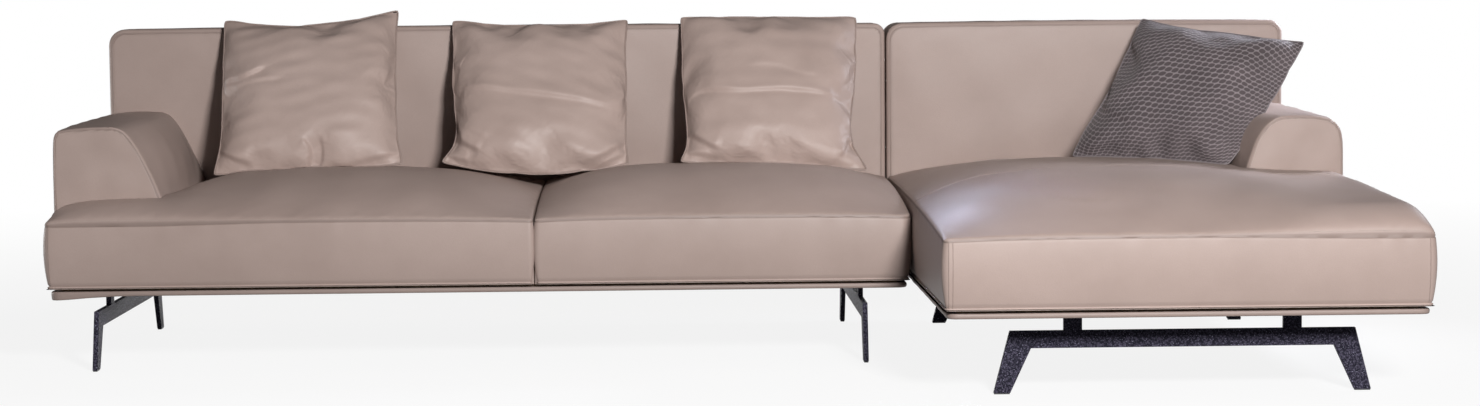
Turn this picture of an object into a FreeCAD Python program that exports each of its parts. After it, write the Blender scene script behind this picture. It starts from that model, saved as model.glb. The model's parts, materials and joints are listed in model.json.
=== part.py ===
import FreeCAD, Part
import math
import os
from FreeCAD import Placement, Rotation, Vector

os.makedirs("parts", exist_ok=True)

# A leather corner sofa in two modules: a two-seat sofa with the left arm, and a chaise with the right arm.
# Origin on the floor under the middle of the whole sofa. +X to the right seen from the front, +Y to the back.

# Overall sizes, in millimetres
sofa_width = 2090.0
chaise_width = 1087.0
module_gap = 3.0
sofa_depth = 965.0
chaise_depth = 1650.0
back_height = 820.0
back_depth = 191.0
arm_height = 582.0
arm_width = 256.0
arm_setback = 115.0
arm_side_inset = 10.0
back_side_inset = 14.0
left_seat_width = 1175.0
seat_split_gap = 2.0

# Heights of the base, from the floor up
glide_height = 3.0
sled_bar_top = 142.0
sled_bar_height = 39.0
plinth_bottom = 184.0
plinth_height = 13.0
shadow_gap = 6.0
seam_height = 362.0

# Upholstery
cover_thickness = 2.5
seating_gap = 0.3
fit_gap = 0.5
sofa_crown = 100.0
chaise_crown = 110.0
seam_arch = 6.0
side_seam_rise = 45.0
seat_edge_radius = 9.0
seat_front_taper = 10.0
seat_seam_setback = 3.0
sofa_crown_power = 3.6
chaise_crown_power = 4.6
crown_station_shares = (0.03, 0.07, 0.13, 0.21, 0.32, 0.44, 0.56, 0.68, 0.79, 0.87, 0.93, 0.97)
back_station_shares = (0.07, 0.18, 0.35, 0.5, 0.65, 0.82, 0.93)
sofa_place_shares = ((0.0, 0.05, 0.13), (0.13, 0.28, 0.47), (0.47, 0.76, 1.0))
sofa_crest_shares = ((0.0, 0.33, 0.62), (0.62, 0.89, 1.0), (1.0, 0.89, 0.66))
sofa_side_shares = ((0.0, 0.1, 0.24), (0.24, 0.48, 0.72), (0.72, 0.94, 1.0))
chaise_place_shares = ((0.0, 0.03, 0.08), (0.08, 0.2, 0.42), (0.42, 0.75, 1.0))
chaise_crest_shares = ((0.0, 0.33, 0.65), (0.65, 0.91, 1.0), (1.0, 0.94, 0.66))
chaise_side_shares = ((0.0, 0.07, 0.17), (0.17, 0.4, 0.7), (0.7, 0.95, 1.0))
rounding_shares = (0.0, 0.05, 0.25, 1.0)
front_bulge_height_share = 0.64
back_corner_radius = 45.0
back_side_radius = 15.0
back_top_radius = 30.0
back_crown = 8.0
back_end_crown_share = 0.25
back_top_rise = 3.0
arm_rise = 15.0
arm_inner_bulge = 18.0
arm_front_radius = 10.0
arm_outer_corner_share = 0.11
arm_flat_end_share = 0.55
arm_top_crown = 3.0
arm_shoulder_mid_shares = (0.655, 0.975)
arm_shoulder_end_shares = (0.735, 0.89)
arm_slope_mid_shares = (0.865, 0.72)
arm_slope_end_shares = (0.975, 0.45)
arm_station_shares = (0.06, 0.16, 0.3, 0.45, 0.6, 0.75, 0.88, 1.0)
overrun = 20.0

# Timber frames
pocket_margin = 25.0
rail_height = 60.0
rail_thickness = 25.0
webbing_thickness = 2.0
webbing_width = 70.0
webbing_pitch = 110.0
webbing_end_margin = 40.0
felt_thickness = 2.5
back_foam_front = 70.0
back_foam_rear = 12.0
back_foam_top = 35.0
back_panel_thickness = 3.0
back_rib_thickness = 18.0
back_rib_pitch = 420.0
back_webbing_count = 3
arm_foam_side = 12.0
arm_foam_front = 22.0
arm_foam_top = 40.0
arm_frame_width = 150.0
arm_board_thickness = 18.0

# Base board, plinth wrap and dust cover
plinth_side_inset = 11.0
plinth_front_inset = 9.0
plinth_edge_radius = 9.0
skin_thickness = 1.5
dust_cover_margin = 60.0
spacer_inset = 24.0
spacer_width = 30.0

# Steel sleds
sled_thickness = 12.0
sled_leg_width = 37.0
sled_leg_lean = 36.0
sled_corner_run = 47.5
chaise_sled_length = 849.0
chaise_sled_setback = 150.0
chaise_rear_sled_inset = 120.0
chaise_sled_offset = 10.0
sofa_sled_side_inset = 110.0
sofa_sled_end_inset = 30.0
post_width = 41.0
post_spacing = 494.0
plate_thickness = 4.0
plate_length = 110.0
plate_width = 60.0
bolt_radius = 4.0
bolt_clearance = 0.4
bolt_head_radius = 7.0
bolt_head_height = 4.0
bolt_edge_margin = 14.0
tee_nut_radius = 10.0
tee_nut_thickness = 1.5
link_plate_length = 190.0
link_plate_width = 40.0
link_plate_end_margin = 380.0
glide_margin = 1.0

# Scatter cushions
cushion_width = 470.0
cushion_height = 465.0
cushion_thickness = 135.0
cushion_edge_thickness = 16.0
cushion_draw_in = 14.0
cushion_lean = 35.0
leather_cushion_places = (566.0, 1163.0, 1776.0)
leather_cushion_rolls = (2.5, -0.5, -1.5)
back_contact_gap = 1.0
woven_cushion_side_setback = 338.0
woven_cushion_setback = 322.0
woven_cushion_turn = 38.0
woven_cushion_lean = 43.0
woven_cushion_roll = -5.0
cushion_station_shares = (-1.0, -0.93, -0.7, -0.35, 0.0, 0.35, 0.7, 0.93, 1.0)
settle_steps = 12
settle_tolerance = 0.05
settle_start = 45.0

# Places worked out from the sizes
total_width = sofa_width + module_gap + chaise_width
left_x = -total_width / 2
right_x = total_width / 2
sofa_right_x = left_x + sofa_width
chaise_left_x = sofa_right_x + module_gap
chaise_front_y = -chaise_depth / 2
rear_y = chaise_depth / 2
sofa_front_y = rear_y - sofa_depth
back_front_y = rear_y - back_depth
arm_front_y = sofa_front_y + arm_setback
plinth_top = plinth_bottom + plinth_height
base_z = plinth_top + shadow_gap
rail_top = base_z + rail_height
felt_bottom = rail_top + webbing_thickness * 2
deck_top = felt_bottom + felt_thickness
seat_rear_y = back_front_y - fit_gap
seat_split_x = left_x + left_seat_width
skirt_z = base_z - overrun


def box(x0, x1, y0, y1, z0, z1):
    return Part.makeBox(x1 - x0, y1 - y0, z1 - z0, Vector(x0, y0, z0))


def line(a, b):
    return Part.LineSegment(a, b).toShape()


def arc(a, b, c):
    return Part.Arc(a, b, c).toShape()


def export(name, shapes):
    shape = Part.makeCompound(shapes) if len(shapes) > 1 else shapes[0]
    shape.exportStep("parts/" + name + ".step")


def solids_of(shape):
    return list(shape.Solids)


# 1 in the middle of a span and 0 at both ends, flat in the middle and steep at the ends
def swell(share, power):
    return 1 - abs(1 - 2 * share) ** power


# How far a rounded edge has dropped away at this distance from the side
def edge_drop(distance, radius):
    if distance >= radius:
        return 0.0
    return radius - math.sqrt(radius**2 - (radius - distance) ** 2)


# Places across a span: close together over the rounded ends, then at shares of the whole
def stations(low, high, radius, shares):
    near = [low + radius * share for share in rounding_shares]
    far = [high - radius * share for share in reversed(rounding_shares)]
    middle = [low + (high - low) * share for share in shares]
    return near + middle + far


# Height of a seat's top: from the side seam's height at the ends to the crest's in the middle
def seat_top(share_x, crest_share, side_share, crown, power):
    side = side_seam_rise * side_share
    crest = seam_arch + crown * crest_share
    return seam_height + side + (crest - side) * swell(share_x, power)


# One slice of a seat at x: bulged front, crowned top, straight back and bottom
def seat_section(x, share_x, plan, form, drop, bottom, inset):
    crown, power, place_shares, crest_shares, side_shares = form
    front = plan[2] + drop
    rear = plan[3]

    def top(place_share, crest_share, side_share):
        y = front + seat_seam_setback + (rear - front - seat_seam_setback) * place_share
        height = seat_top(share_x, crest_share, side_share, crown, power)
        return Vector(x, y, height - drop - inset)

    seam = top(0, 0, 0)
    foot = Vector(x, front + seat_front_taper, bottom)
    middle_z = bottom + (seam.z - bottom) * front_bulge_height_share
    edges = [arc(foot, Vector(x, front, middle_z), seam)]
    for places, crests, sides in zip(place_shares, crest_shares, side_shares):
        edges.append(arc(*[top(*shares) for shares in zip(places, crests, sides)]))
    back_foot = Vector(x, rear, bottom)
    edges.append(line(top(1, crest_shares[-1][-1], 1), back_foot))
    edges.append(line(back_foot, foot))
    return Part.Wire(edges)


# A whole crowned seat block, drawn in by an inset on every side but the bottom
def seat_body(plan, form, bottom, inset):
    x0, x1, y0, y1 = plan
    inner = (x0 + inset, x1 - inset, y0 + inset, y1 - inset)
    wires = []
    for x in stations(inner[0], inner[1], seat_edge_radius, crown_station_shares):
        share_x = (x - inner[0]) / (inner[1] - inner[0])
        drop = edge_drop(min(x - inner[0], inner[1] - x), seat_edge_radius)
        wires.append(seat_section(x, share_x, inner, form, drop, bottom, inset))
    return Part.makeLoft(wires, True, True)


# One slice of an arm at y, outer face first; side is -1 for the left arm and 1 for the right one
def arm_section(y, share_y, side, bottom, drop, inset):
    outer = side * (total_width / 2 - arm_side_inset - inset)
    rise = arm_rise * (1 - (1 - share_y) ** 2)
    top = arm_height + rise - drop - inset
    bulge = arm_inner_bulge * swell(share_y, 2)
    width = arm_width + bulge - 2 * inset - drop
    height = arm_height + rise - base_z - drop - inset
    corner = arm_outer_corner_share * width

    def point(across, up):
        return Vector(outer - side * across, y, up)

    def shared(shares):
        return point(width * shares[0], top - height * (1 - shares[1]))

    slant = corner * (1 - math.sqrt(2) / 2)
    flat_end = point(width * arm_flat_end_share, top)
    crown_middle = point((corner + width * arm_flat_end_share) / 2, top + arm_top_crown)
    shoulder_end = shared(arm_shoulder_end_shares)
    slope_end = shared(arm_slope_end_shares)
    inner_foot = point(width, bottom)
    outer_foot = point(0, bottom)
    edges = [
        line(outer_foot, point(0, top - corner)),
        arc(point(0, top - corner), point(slant, top - slant), point(corner, top)),
        arc(point(corner, top), crown_middle, flat_end),
        arc(flat_end, shared(arm_shoulder_mid_shares), shoulder_end),
        arc(shoulder_end, shared(arm_slope_mid_shares), slope_end),
        line(slope_end, inner_foot),
        line(inner_foot, outer_foot),
    ]
    return Part.Wire(edges)


# A whole arm, with its front edge rounded and its rear end flat against the back
def arm_body(side, bottom, inset):
    front = arm_front_y + inset
    rear = seat_rear_y - inset
    places = [front + arm_front_radius * share for share in rounding_shares]
    places += [front + (rear - front) * share for share in arm_station_shares]
    wires = []
    for y in places:
        share_y = (y - front) / (rear - front)
        drop = edge_drop(y - front, arm_front_radius)
        wires.append(arm_section(y, share_y, side, bottom, drop, inset))
    return Part.makeLoft(wires, True, True)


# One slice of a back at x: a bulged front face and rounded top edges
def back_section(x, share_x, y_drop, z_drop, bottom, inset):
    front = back_front_y + inset + y_drop
    rear = rear_y - inset - y_drop
    top = back_height + back_top_rise * swell(share_x, 2) - inset - z_drop
    radius = back_top_radius - y_drop
    slant = radius * (1 - math.sqrt(2) / 2)
    crown = back_crown * (back_end_crown_share + (1 - back_end_crown_share) * swell(share_x, 2))
    shoulder = top - radius
    bulge_foot = arm_height + arm_rise
    bulge_middle = Vector(x, front - crown, (bulge_foot + shoulder) / 2)
    edges = [
        line(Vector(x, front, bottom), Vector(x, front, bulge_foot)),
        arc(Vector(x, front, bulge_foot), bulge_middle, Vector(x, front, shoulder)),
        arc(
            Vector(x, front, shoulder),
            Vector(x, front + slant, top - slant),
            Vector(x, front + radius, top),
        ),
        line(Vector(x, front + radius, top), Vector(x, rear - radius, top)),
        arc(
            Vector(x, rear - radius, top),
            Vector(x, rear - slant, top - slant),
            Vector(x, rear, shoulder),
        ),
        line(Vector(x, rear, shoulder), Vector(x, rear, bottom)),
        line(Vector(x, rear, bottom), Vector(x, front, bottom)),
    ]
    return Part.Wire(edges)


# A whole back between two x places
def back_body(x0, x1, bottom, inset):
    low = x0 + inset
    high = x1 - inset
    wires = []
    for x in stations(low, high, back_corner_radius, back_station_shares):
        share_x = (x - low) / (high - low)
        distance = min(x - low, high - x)
        y_drop = edge_drop(distance, back_side_radius)
        z_drop = edge_drop(distance, back_corner_radius)
        wires.append(back_section(x, share_x, y_drop, z_drop, bottom, inset))
    return Part.makeLoft(wires, True, True)


# The room that a module's timber base takes out of the upholstery round it
def base_pocket(x0, x1, front):
    return box(
        x0 + pocket_margin,
        x1 - pocket_margin,
        front + pocket_margin,
        rear_y - pocket_margin,
        skirt_z,
        deck_top,
    )


# The room that an arm takes out of the seat beside it, with a clearance all round
def arm_notch(side, clearance):
    body = arm_body(side, skirt_z, -clearance)
    near = side * (total_width / 2 + overrun)
    far = side * (total_width / 2 - arm_side_inset - arm_width / 2)
    strip = box(
        min(near, far),
        max(near, far),
        arm_front_y - clearance,
        rear_y,
        skirt_z,
        back_height,
    )
    return [body, strip]


# What lies below the level edge of the upholstery
def below_skirt():
    wide = total_width + overrun
    deep = chaise_depth + overrun
    return box(-wide, wide, -deep, deep, -overrun, base_z)


# Cover and foam of one seat; the foam of a notched seat is two blocks, split at the arm's front
def make_seat(name, plan, form, pocket, side):
    outer = seat_body(plan, form, skirt_z, 0.0)
    hollow = seat_body(plan, form, skirt_z, cover_thickness)
    if side:
        for tool in arm_notch(side, fit_gap):
            outer = outer.cut(tool)
        for tool in arm_notch(side, fit_gap + cover_thickness):
            hollow = hollow.cut(tool)
    cover = outer.cut(hollow).cut(pocket).cut(below_skirt())
    foam = hollow.cut(pocket).cut(below_skirt())
    export(name + "_cover", solids_of(cover))
    if side:
        front_room = box(left_x, right_x, chaise_front_y, arm_front_y, skirt_z, back_height)
        export(name + "_foam", solids_of(foam.common(front_room)) + solids_of(foam.cut(front_room)))
    else:
        export(name + "_foam", solids_of(foam))
    return outer


def make_seats():
    sofa_pocket = base_pocket(left_x, sofa_right_x, sofa_front_y)
    chaise_pocket = base_pocket(chaise_left_x, right_x, chaise_front_y)
    left_plan = (left_x, seat_split_x - seat_split_gap / 2, sofa_front_y, seat_rear_y)
    right_plan = (seat_split_x + seat_split_gap / 2, sofa_right_x, sofa_front_y, seat_rear_y)
    chaise_plan = (chaise_left_x, right_x, chaise_front_y, seat_rear_y)
    sofa_form = (
        sofa_crown,
        sofa_crown_power,
        sofa_place_shares,
        sofa_crest_shares,
        sofa_side_shares,
    )
    chaise_form = (
        chaise_crown,
        chaise_crown_power,
        chaise_place_shares,
        chaise_crest_shares,
        chaise_side_shares,
    )
    return [
        make_seat("sofa_left_seat", left_plan, sofa_form, sofa_pocket, -1),
        make_seat("sofa_right_seat", right_plan, sofa_form, sofa_pocket, 0),
        make_seat("chaise_seat", chaise_plan, chaise_form, chaise_pocket, 1),
    ]


# Where an arm's timber box stands, as x from the outer side inward
def arm_frame_room(side):
    outer = side * (total_width / 2 - arm_side_inset - arm_foam_side - cover_thickness)
    inner = outer - side * arm_frame_width
    front = arm_front_y + arm_foam_front
    rear = seat_rear_y - arm_foam_side
    return min(outer, inner), max(outer, inner), front, rear, rail_top, arm_height - arm_foam_top


# Cover, foam and timber box of one arm
def make_arm(name, side, pocket):
    outer = arm_body(side, skirt_z, 0.0)
    hollow = arm_body(side, skirt_z, cover_thickness)
    x0, x1, y0, y1, z0, z1 = arm_frame_room(side)
    room = box(x0, x1, y0, y1, skirt_z, z1)
    cover = outer.cut(hollow).cut(pocket).cut(below_skirt())
    foam = hollow.cut(room).cut(pocket).cut(below_skirt())
    export(name + "_cover", solids_of(cover))
    export(name + "_foam", solids_of(foam))
    export(name + "_frame", arm_frame_boards(side))
    return outer


# Plywood box inside an arm: two sides, two ends and a top
def arm_frame_boards(side):
    x0, x1, y0, y1, z0, z1 = arm_frame_room(side)
    board = arm_board_thickness
    top_z = z1 - board
    return [
        box(x0, x0 + board, y0, y1, z0, top_z),
        box(x1 - board, x1, y0, y1, z0, top_z),
        box(x0 + board, x1 - board, y0, y0 + board, z0, top_z),
        box(x0 + board, x1 - board, y1 - board, y1, z0, top_z),
        box(x0, x1, y0, y1, top_z, z1),
    ]


# Where a back's timber frame stands
def back_frame_room(x0, x1):
    return (
        x0 + back_corner_radius,
        x1 - back_corner_radius,
        back_front_y + back_foam_front,
        rear_y - back_foam_rear - cover_thickness,
        rail_top,
        back_height - back_foam_top,
    )


# Cover, foam, ribs, webbing and rear panel of one back
def make_back(name, x0, x1, pocket):
    outer = back_body(x0, x1, skirt_z, 0.0)
    hollow = back_body(x0, x1, skirt_z, cover_thickness)
    fx0, fx1, fy0, fy1, fz0, fz1 = back_frame_room(x0, x1)
    room = box(fx0, fx1, fy0, fy1, skirt_z, fz1)
    cover = outer.cut(hollow).cut(pocket).cut(below_skirt())
    foam = hollow.cut(room).cut(pocket).cut(below_skirt())
    export(name + "_cover", solids_of(cover))
    export(name + "_foam", solids_of(foam))
    export(name + "_frame", back_ribs(x0, x1))
    export(name + "_webbing", back_straps(x0, x1))
    panel = box(fx0, fx1, fy1 - back_panel_thickness, fy1, fz0, fz1)
    export(name + "_panel", [panel])
    return outer


# Upright ribs between a bottom board and a top board
def back_ribs(x0, x1):
    fx0, fx1, fy0, fy1, fz0, fz1 = back_frame_room(x0, x1)
    front = fy0 + webbing_thickness
    rear = fy1 - back_panel_thickness
    board = back_rib_thickness
    count = max(2, round((fx1 - fx0) / back_rib_pitch) + 1)
    pitch = (fx1 - fx0 - board) / (count - 1)
    pieces = [
        box(fx0, fx1, front, rear, fz0, fz0 + board),
        box(fx0, fx1, front, rear, fz1 - board, fz1),
    ]
    for index in range(count):
        x = fx0 + pitch * index
        pieces.append(box(x, x + board, front, rear, fz0 + board, fz1 - board))
    return pieces


# Level straps over the front of the ribs
def back_straps(x0, x1):
    fx0, fx1, fy0, fy1, fz0, fz1 = back_frame_room(x0, x1)
    pitch = (fz1 - deck_top) / (back_webbing_count + 1)
    pieces = []
    for index in range(back_webbing_count):
        z = deck_top + pitch * (index + 1)
        low = z - webbing_width / 2
        pieces.append(box(fx0, fx1, fy0, fy0 + webbing_thickness, low, low + webbing_width))
    return pieces


# Timber base of a module: an outer ring of rails, one under the back's front and one beside the arm
def base_rails(x0, x1, front, arm_side, extra_x, extra_y):
    left = x0 + pocket_margin
    right = x1 - pocket_margin
    low_y = front + pocket_margin
    high_y = rear_y - pocket_margin
    thick = rail_thickness
    back_rail_y = back_front_y + back_foam_front
    arm_room = arm_frame_room(arm_side)
    arm_rail_x = arm_room[1] - thick if arm_side < 0 else arm_room[0]
    pieces = [
        box(left, right, low_y, low_y + thick, base_z, rail_top),
        box(left, right, high_y - thick, high_y, base_z, rail_top),
        box(left, left + thick, low_y + thick, high_y - thick, base_z, rail_top),
        box(right - thick, right, low_y + thick, high_y - thick, base_z, rail_top),
        box(left + thick, right - thick, back_rail_y, back_rail_y + thick, base_z, rail_top),
    ]
    arm_start = low_y + thick
    for y in extra_y:
        pieces.append(box(left + thick, right - thick, y, y + thick, base_z, rail_top))
        arm_start = y + thick
    pieces.append(box(arm_rail_x, arm_rail_x + thick, arm_start, back_rail_y, base_z, rail_top))
    for x in extra_x:
        pieces.append(box(x, x + thick, low_y + thick, back_rail_y, base_z, rail_top))
    return pieces


# Straps from front to back and straps across them, over the open field of a base
def seat_straps(x0, x1, y0, y1):
    pieces = []
    count_x = int((x1 - x0 - webbing_end_margin) / webbing_pitch)
    count_y = int((y1 - y0 - webbing_end_margin) / webbing_pitch)
    pitch_x = (x1 - x0) / count_x
    pitch_y = (y1 - y0) / count_y
    middle = rail_top + webbing_thickness
    for index in range(count_x):
        x = x0 + pitch_x * index + (pitch_x - webbing_width) / 2
        pieces.append(box(x, x + webbing_width, y0, y1, rail_top, middle))
    for index in range(count_y):
        y = y0 + pitch_y * index + (pitch_y - webbing_width) / 2
        pieces.append(box(x0, x1, y, y + webbing_width, middle, felt_bottom))
    return pieces


# Rails, straps and felt of both modules
def make_bases():
    thick = rail_thickness
    middle_rail_x = seat_split_x - thick / 2
    stiffener_y = sofa_front_y - thick
    sofa_rails = base_rails(left_x, sofa_right_x, sofa_front_y, -1, [middle_rail_x], [])
    chaise_rails = base_rails(chaise_left_x, right_x, chaise_front_y, 1, [], [stiffener_y])
    export("sofa_base_frame", sofa_rails)
    export("chaise_base_frame", chaise_rails)
    field_rear = back_front_y + back_foam_front - fit_gap
    arm_room = arm_frame_room(-1)
    sofa_field = (arm_room[1] + fit_gap, sofa_right_x - pocket_margin)
    sofa_front = sofa_front_y + pocket_margin
    export("sofa_seat_webbing", seat_straps(*sofa_field, sofa_front, field_rear))
    arm_room = arm_frame_room(1)
    chaise_field = (chaise_left_x + pocket_margin, arm_room[0] - fit_gap)
    chaise_front = chaise_front_y + pocket_margin
    export("chaise_seat_webbing", seat_straps(*chaise_field, chaise_front, field_rear))
    sofa_felt = box(*sofa_field, sofa_front, field_rear, felt_bottom, deck_top)
    chaise_felt = box(*chaise_field, chaise_front, field_rear, felt_bottom, deck_top)
    export("sofa_deck_felt", [sofa_felt])
    export("chaise_deck_felt", [chaise_felt])


# A thin plate with rounded upright and lower edges
def plinth_plate(x0, x1, front, bottom, top, inset):
    plate = box(
        x0 + plinth_side_inset + inset,
        x1 - plinth_side_inset - inset,
        front + plinth_front_inset + inset,
        rear_y - plinth_front_inset - inset,
        bottom + inset,
        top,
    )
    edges = []
    for edge in plate.Edges:
        middle = edge.CenterOfMass
        upright = abs(edge.Vertexes[0].Z - edge.Vertexes[1].Z) > plinth_height / 2
        if upright or middle.z < bottom + inset + plinth_height / 4:
            edges.append(edge)
    return plate.makeFillet(plinth_edge_radius - inset, edges)


# Strips that hold the seat block off the plinth and leave the dark line between them
def gap_spacers(x0, x1, front):
    left = x0 + plinth_side_inset + spacer_inset
    right = x1 - plinth_side_inset - spacer_inset
    low_y = front + plinth_front_inset + spacer_inset
    high_y = rear_y - plinth_front_inset - spacer_inset
    wide = spacer_width
    return [
        box(left, right, low_y, low_y + wide, plinth_top, base_z),
        box(left, right, high_y - wide, high_y, plinth_top, base_z),
        box(left, left + wide, low_y + wide, high_y - wide, plinth_top, base_z),
        box(right - wide, right, low_y + wide, high_y - wide, plinth_top, base_z),
    ]


# Board, leather wrap, dust cover and spacers under one module
def make_plinth(name, x0, x1, front, holes):
    outer = plinth_plate(x0, x1, front, plinth_bottom, plinth_top, 0.0)
    board = plinth_plate(x0, x1, front, plinth_bottom, plinth_top, skin_thickness)
    tall_board = plinth_plate(
        x0, x1, front, plinth_bottom, plinth_top + plinth_height, skin_thickness
    )
    patch = box(
        x0 + dust_cover_margin,
        x1 - dust_cover_margin,
        front + dust_cover_margin,
        rear_y - dust_cover_margin,
        plinth_bottom,
        plinth_bottom + skin_thickness,
    )
    export(name + "_plinth_wrap", solids_of(outer.cut(tall_board).cut(patch)))
    export(name + "_base_board", solids_of(board.cut(holes)))
    export(name + "_dust_cover", solids_of(patch.cut(holes)))
    export(name + "_gap_spacers", gap_spacers(x0, x1, front))


# A sled lying in the XZ plane, centred on x = 0 and y = 0, as welded pieces of flat bar
def sled_pieces(length):
    half = length / 2
    top = sled_bar_top
    under = sled_bar_top - sled_bar_height
    corner = half - sled_leg_lean
    inner = corner - sled_corner_run
    foot = half - sled_leg_width
    low = glide_height
    bar = sled_plate([(-corner, top), (corner, top), (inner, under), (-inner, under)])
    pieces = [bar]
    for side in (-1, 1):
        leg = [(side * corner, top), (side * inner, under), (side * foot, low), (side * half, low)]
        pieces.append(sled_plate(leg))
        middle = side * post_spacing / 2
        pieces.append(
            box(
                middle - post_width / 2,
                middle + post_width / 2,
                -sled_thickness / 2,
                sled_thickness / 2,
                top,
                plinth_bottom - plate_thickness,
            )
        )
    return pieces


# Flat bar of the sled's thickness, cut to an outline given as (x, z)
def sled_plate(outline):
    points = [Vector(x, -sled_thickness / 2, z) for x, z in outline]
    face = Part.Face(Part.makePolygon(points + points[:1]))
    return face.extrude(Vector(0, sled_thickness, 0))


# Mounting plate for each post of a sled, with two bolt holes
def sled_plates(place):
    plates = []
    for side in (-1, 1):
        middle = side * post_spacing / 2
        plate = box(
            middle - plate_length / 2,
            middle + plate_length / 2,
            -plate_width / 2,
            plate_width / 2,
            plinth_bottom - plate_thickness,
            plinth_bottom,
        )
        plate.Placement = place.multiply(plate.Placement)
        plates.append(plate)
    return plates


# Bolt places of a sled: two through each of its plates
def sled_bolt_places(place):
    places = []
    reach = plate_length / 2 - bolt_edge_margin
    for side in (-1, 1):
        for end in (-1, 1):
            x = side * post_spacing / 2 + end * reach
            places.append(place.multVec(Vector(x, 0, 0)))
    return places


# Where each sled stands, and which way it runs
def sled_places():
    sofa_middle_y = rear_y - sofa_depth / 2
    chaise_middle_x = chaise_left_x + chaise_width / 2 + chaise_sled_offset
    along_y = Rotation(Vector(0, 0, 1), 90)
    along_x = Rotation()
    sofa_length = sofa_depth - 2 * sofa_sled_end_inset
    return {
        "left_sled": (
            sofa_length,
            Placement(Vector(left_x + sofa_sled_side_inset, sofa_middle_y, 0), along_y),
        ),
        "middle_sled": (
            sofa_length,
            Placement(Vector(sofa_right_x - sofa_sled_side_inset, sofa_middle_y, 0), along_y),
        ),
        "chaise_front_sled": (
            chaise_sled_length,
            Placement(Vector(chaise_middle_x, chaise_front_y + chaise_sled_setback, 0), along_x),
        ),
        "chaise_rear_sled": (
            chaise_sled_length,
            Placement(Vector(chaise_middle_x, rear_y - chaise_rear_sled_inset, 0), along_x),
        ),
    }


# Two flat plates under both base boards that hold the modules together
def link_plates():
    middle = (sofa_right_x + chaise_left_x) / 2
    plates = []
    places = []
    for y in (sofa_front_y + link_plate_end_margin, rear_y - link_plate_end_margin):
        plates.append(
            box(
                middle - link_plate_length / 2,
                middle + link_plate_length / 2,
                y - link_plate_width / 2,
                y + link_plate_width / 2,
                plinth_bottom - plate_thickness,
                plinth_bottom,
            )
        )
        for side in (-1, 1):
            x = middle + side * (link_plate_length / 2 - bolt_edge_margin)
            places.append(Vector(x, y, 0))
    return plates, places


def cylinder(place, radius, z0, z1):
    return Part.makeCylinder(radius, z1 - z0, Vector(place.x, place.y, z0))


# Head under the plate and shank up through plate, cover and board
def bolt(place):
    head_bottom = plinth_bottom - plate_thickness - bolt_head_height
    plate_bottom = plinth_bottom - plate_thickness
    head = cylinder(place, bolt_head_radius, head_bottom, plate_bottom)
    shank = cylinder(place, bolt_radius, plate_bottom, plinth_top + tee_nut_thickness)
    return head.fuse(shank)


def tee_nut(place):
    disc = cylinder(place, tee_nut_radius, plinth_top, plinth_top + tee_nut_thickness)
    top = plinth_top + overrun
    return disc.cut(cylinder(place, bolt_radius + bolt_clearance, plinth_bottom, top))


def bolt_holes(places):
    low = plinth_bottom - overrun
    high = plinth_top + overrun
    radius = bolt_radius + bolt_clearance
    return Part.makeCompound([cylinder(place, radius, low, high) for place in places])


# Pads under the feet of a sled
def glides(length, place):
    pads = []
    for side in (-1, 1):
        outer = side * (length / 2 - glide_margin)
        inner = side * (length / 2 - sled_leg_width + glide_margin)
        pad = box(
            min(outer, inner),
            max(outer, inner),
            -sled_thickness / 2 + glide_margin,
            sled_thickness / 2 - glide_margin,
            0,
            glide_height,
        )
        pad.Placement = place.multiply(pad.Placement)
        pads.append(pad)
    return pads


# Sleds with their plates, bolts and pads, and the boards that they are bolted to
def make_sleds_and_plinths():
    link, link_places = link_plates()
    places = list(link_places)
    plates = []
    pads = []
    for name, (length, place) in sled_places().items():
        pieces = sled_pieces(length)
        for piece in pieces:
            piece.Placement = place.multiply(piece.Placement)
        export(name, pieces)
        plates += sled_plates(place)
        pads += glides(length, place)
        places += sled_bolt_places(place)
    holes = bolt_holes(places)
    export("sled_mounting_plates", [plate.cut(holes) for plate in plates])
    export("module_link_plates", [plate.cut(holes) for plate in link])
    export("base_bolts", [bolt(place) for place in places])
    export("tee_nuts", [tee_nut(place) for place in places])
    export("foot_glides", pads)
    make_plinth("sofa", left_x, sofa_right_x, sofa_front_y, holes)
    make_plinth("chaise", chaise_left_x, right_x, chaise_front_y, holes)


# A crowned cushion standing in the XZ plane, centred on the origin, thin at its drawn-in edges
def cushion_body(inset):
    half_width = cushion_width / 2 - inset
    half_height = cushion_height / 2 - inset
    wires = []
    for share in cushion_station_shares:
        x = half_width * share
        swelling = swell((share + 1) / 2, 2)
        up = half_height - cushion_draw_in * swelling
        edge = cushion_edge_thickness / 2 - inset
        thick = edge + (cushion_thickness / 2 - cushion_edge_thickness / 2) * math.sqrt(swelling)
        top = Vector(x, 0, up)
        low = Vector(x, 0, -up)
        wires.append(
            Part.Wire([arc(low, Vector(x, -thick, 0), top), arc(top, Vector(x, thick, 0), low)])
        )
    return Part.makeLoft(wires, True, False)


# Lower a cushion until it almost touches what carries it
def settle(shapes, carriers):
    carrier = Part.makeCompound(carriers)
    for _ in range(settle_steps):
        gap = shapes[0].distToShape(carrier)[0]
        if gap < seating_gap + settle_tolerance:
            break
        for shape in shapes:
            shape.translate(Vector(0, 0, seating_gap - gap))


def make_cushion(name, centre, lean, turn, roll, carriers):
    outer = cushion_body(0.0)
    inner = cushion_body(cover_thickness)
    rotation = (
        Rotation(Vector(0, 0, 1), -turn)
        .multiply(Rotation(Vector(1, 0, 0), -lean))
        .multiply(Rotation(Vector(0, 1, 0), -roll))
    )
    place = Placement(centre, rotation)
    for shape in (outer, inner):
        shape.Placement = place
    shapes = [outer, inner]
    settle(shapes, carriers)
    export(name + "_cover", solids_of(shapes[0].cut(shapes[1])))
    export(name + "_filling", [shapes[1]])


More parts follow.
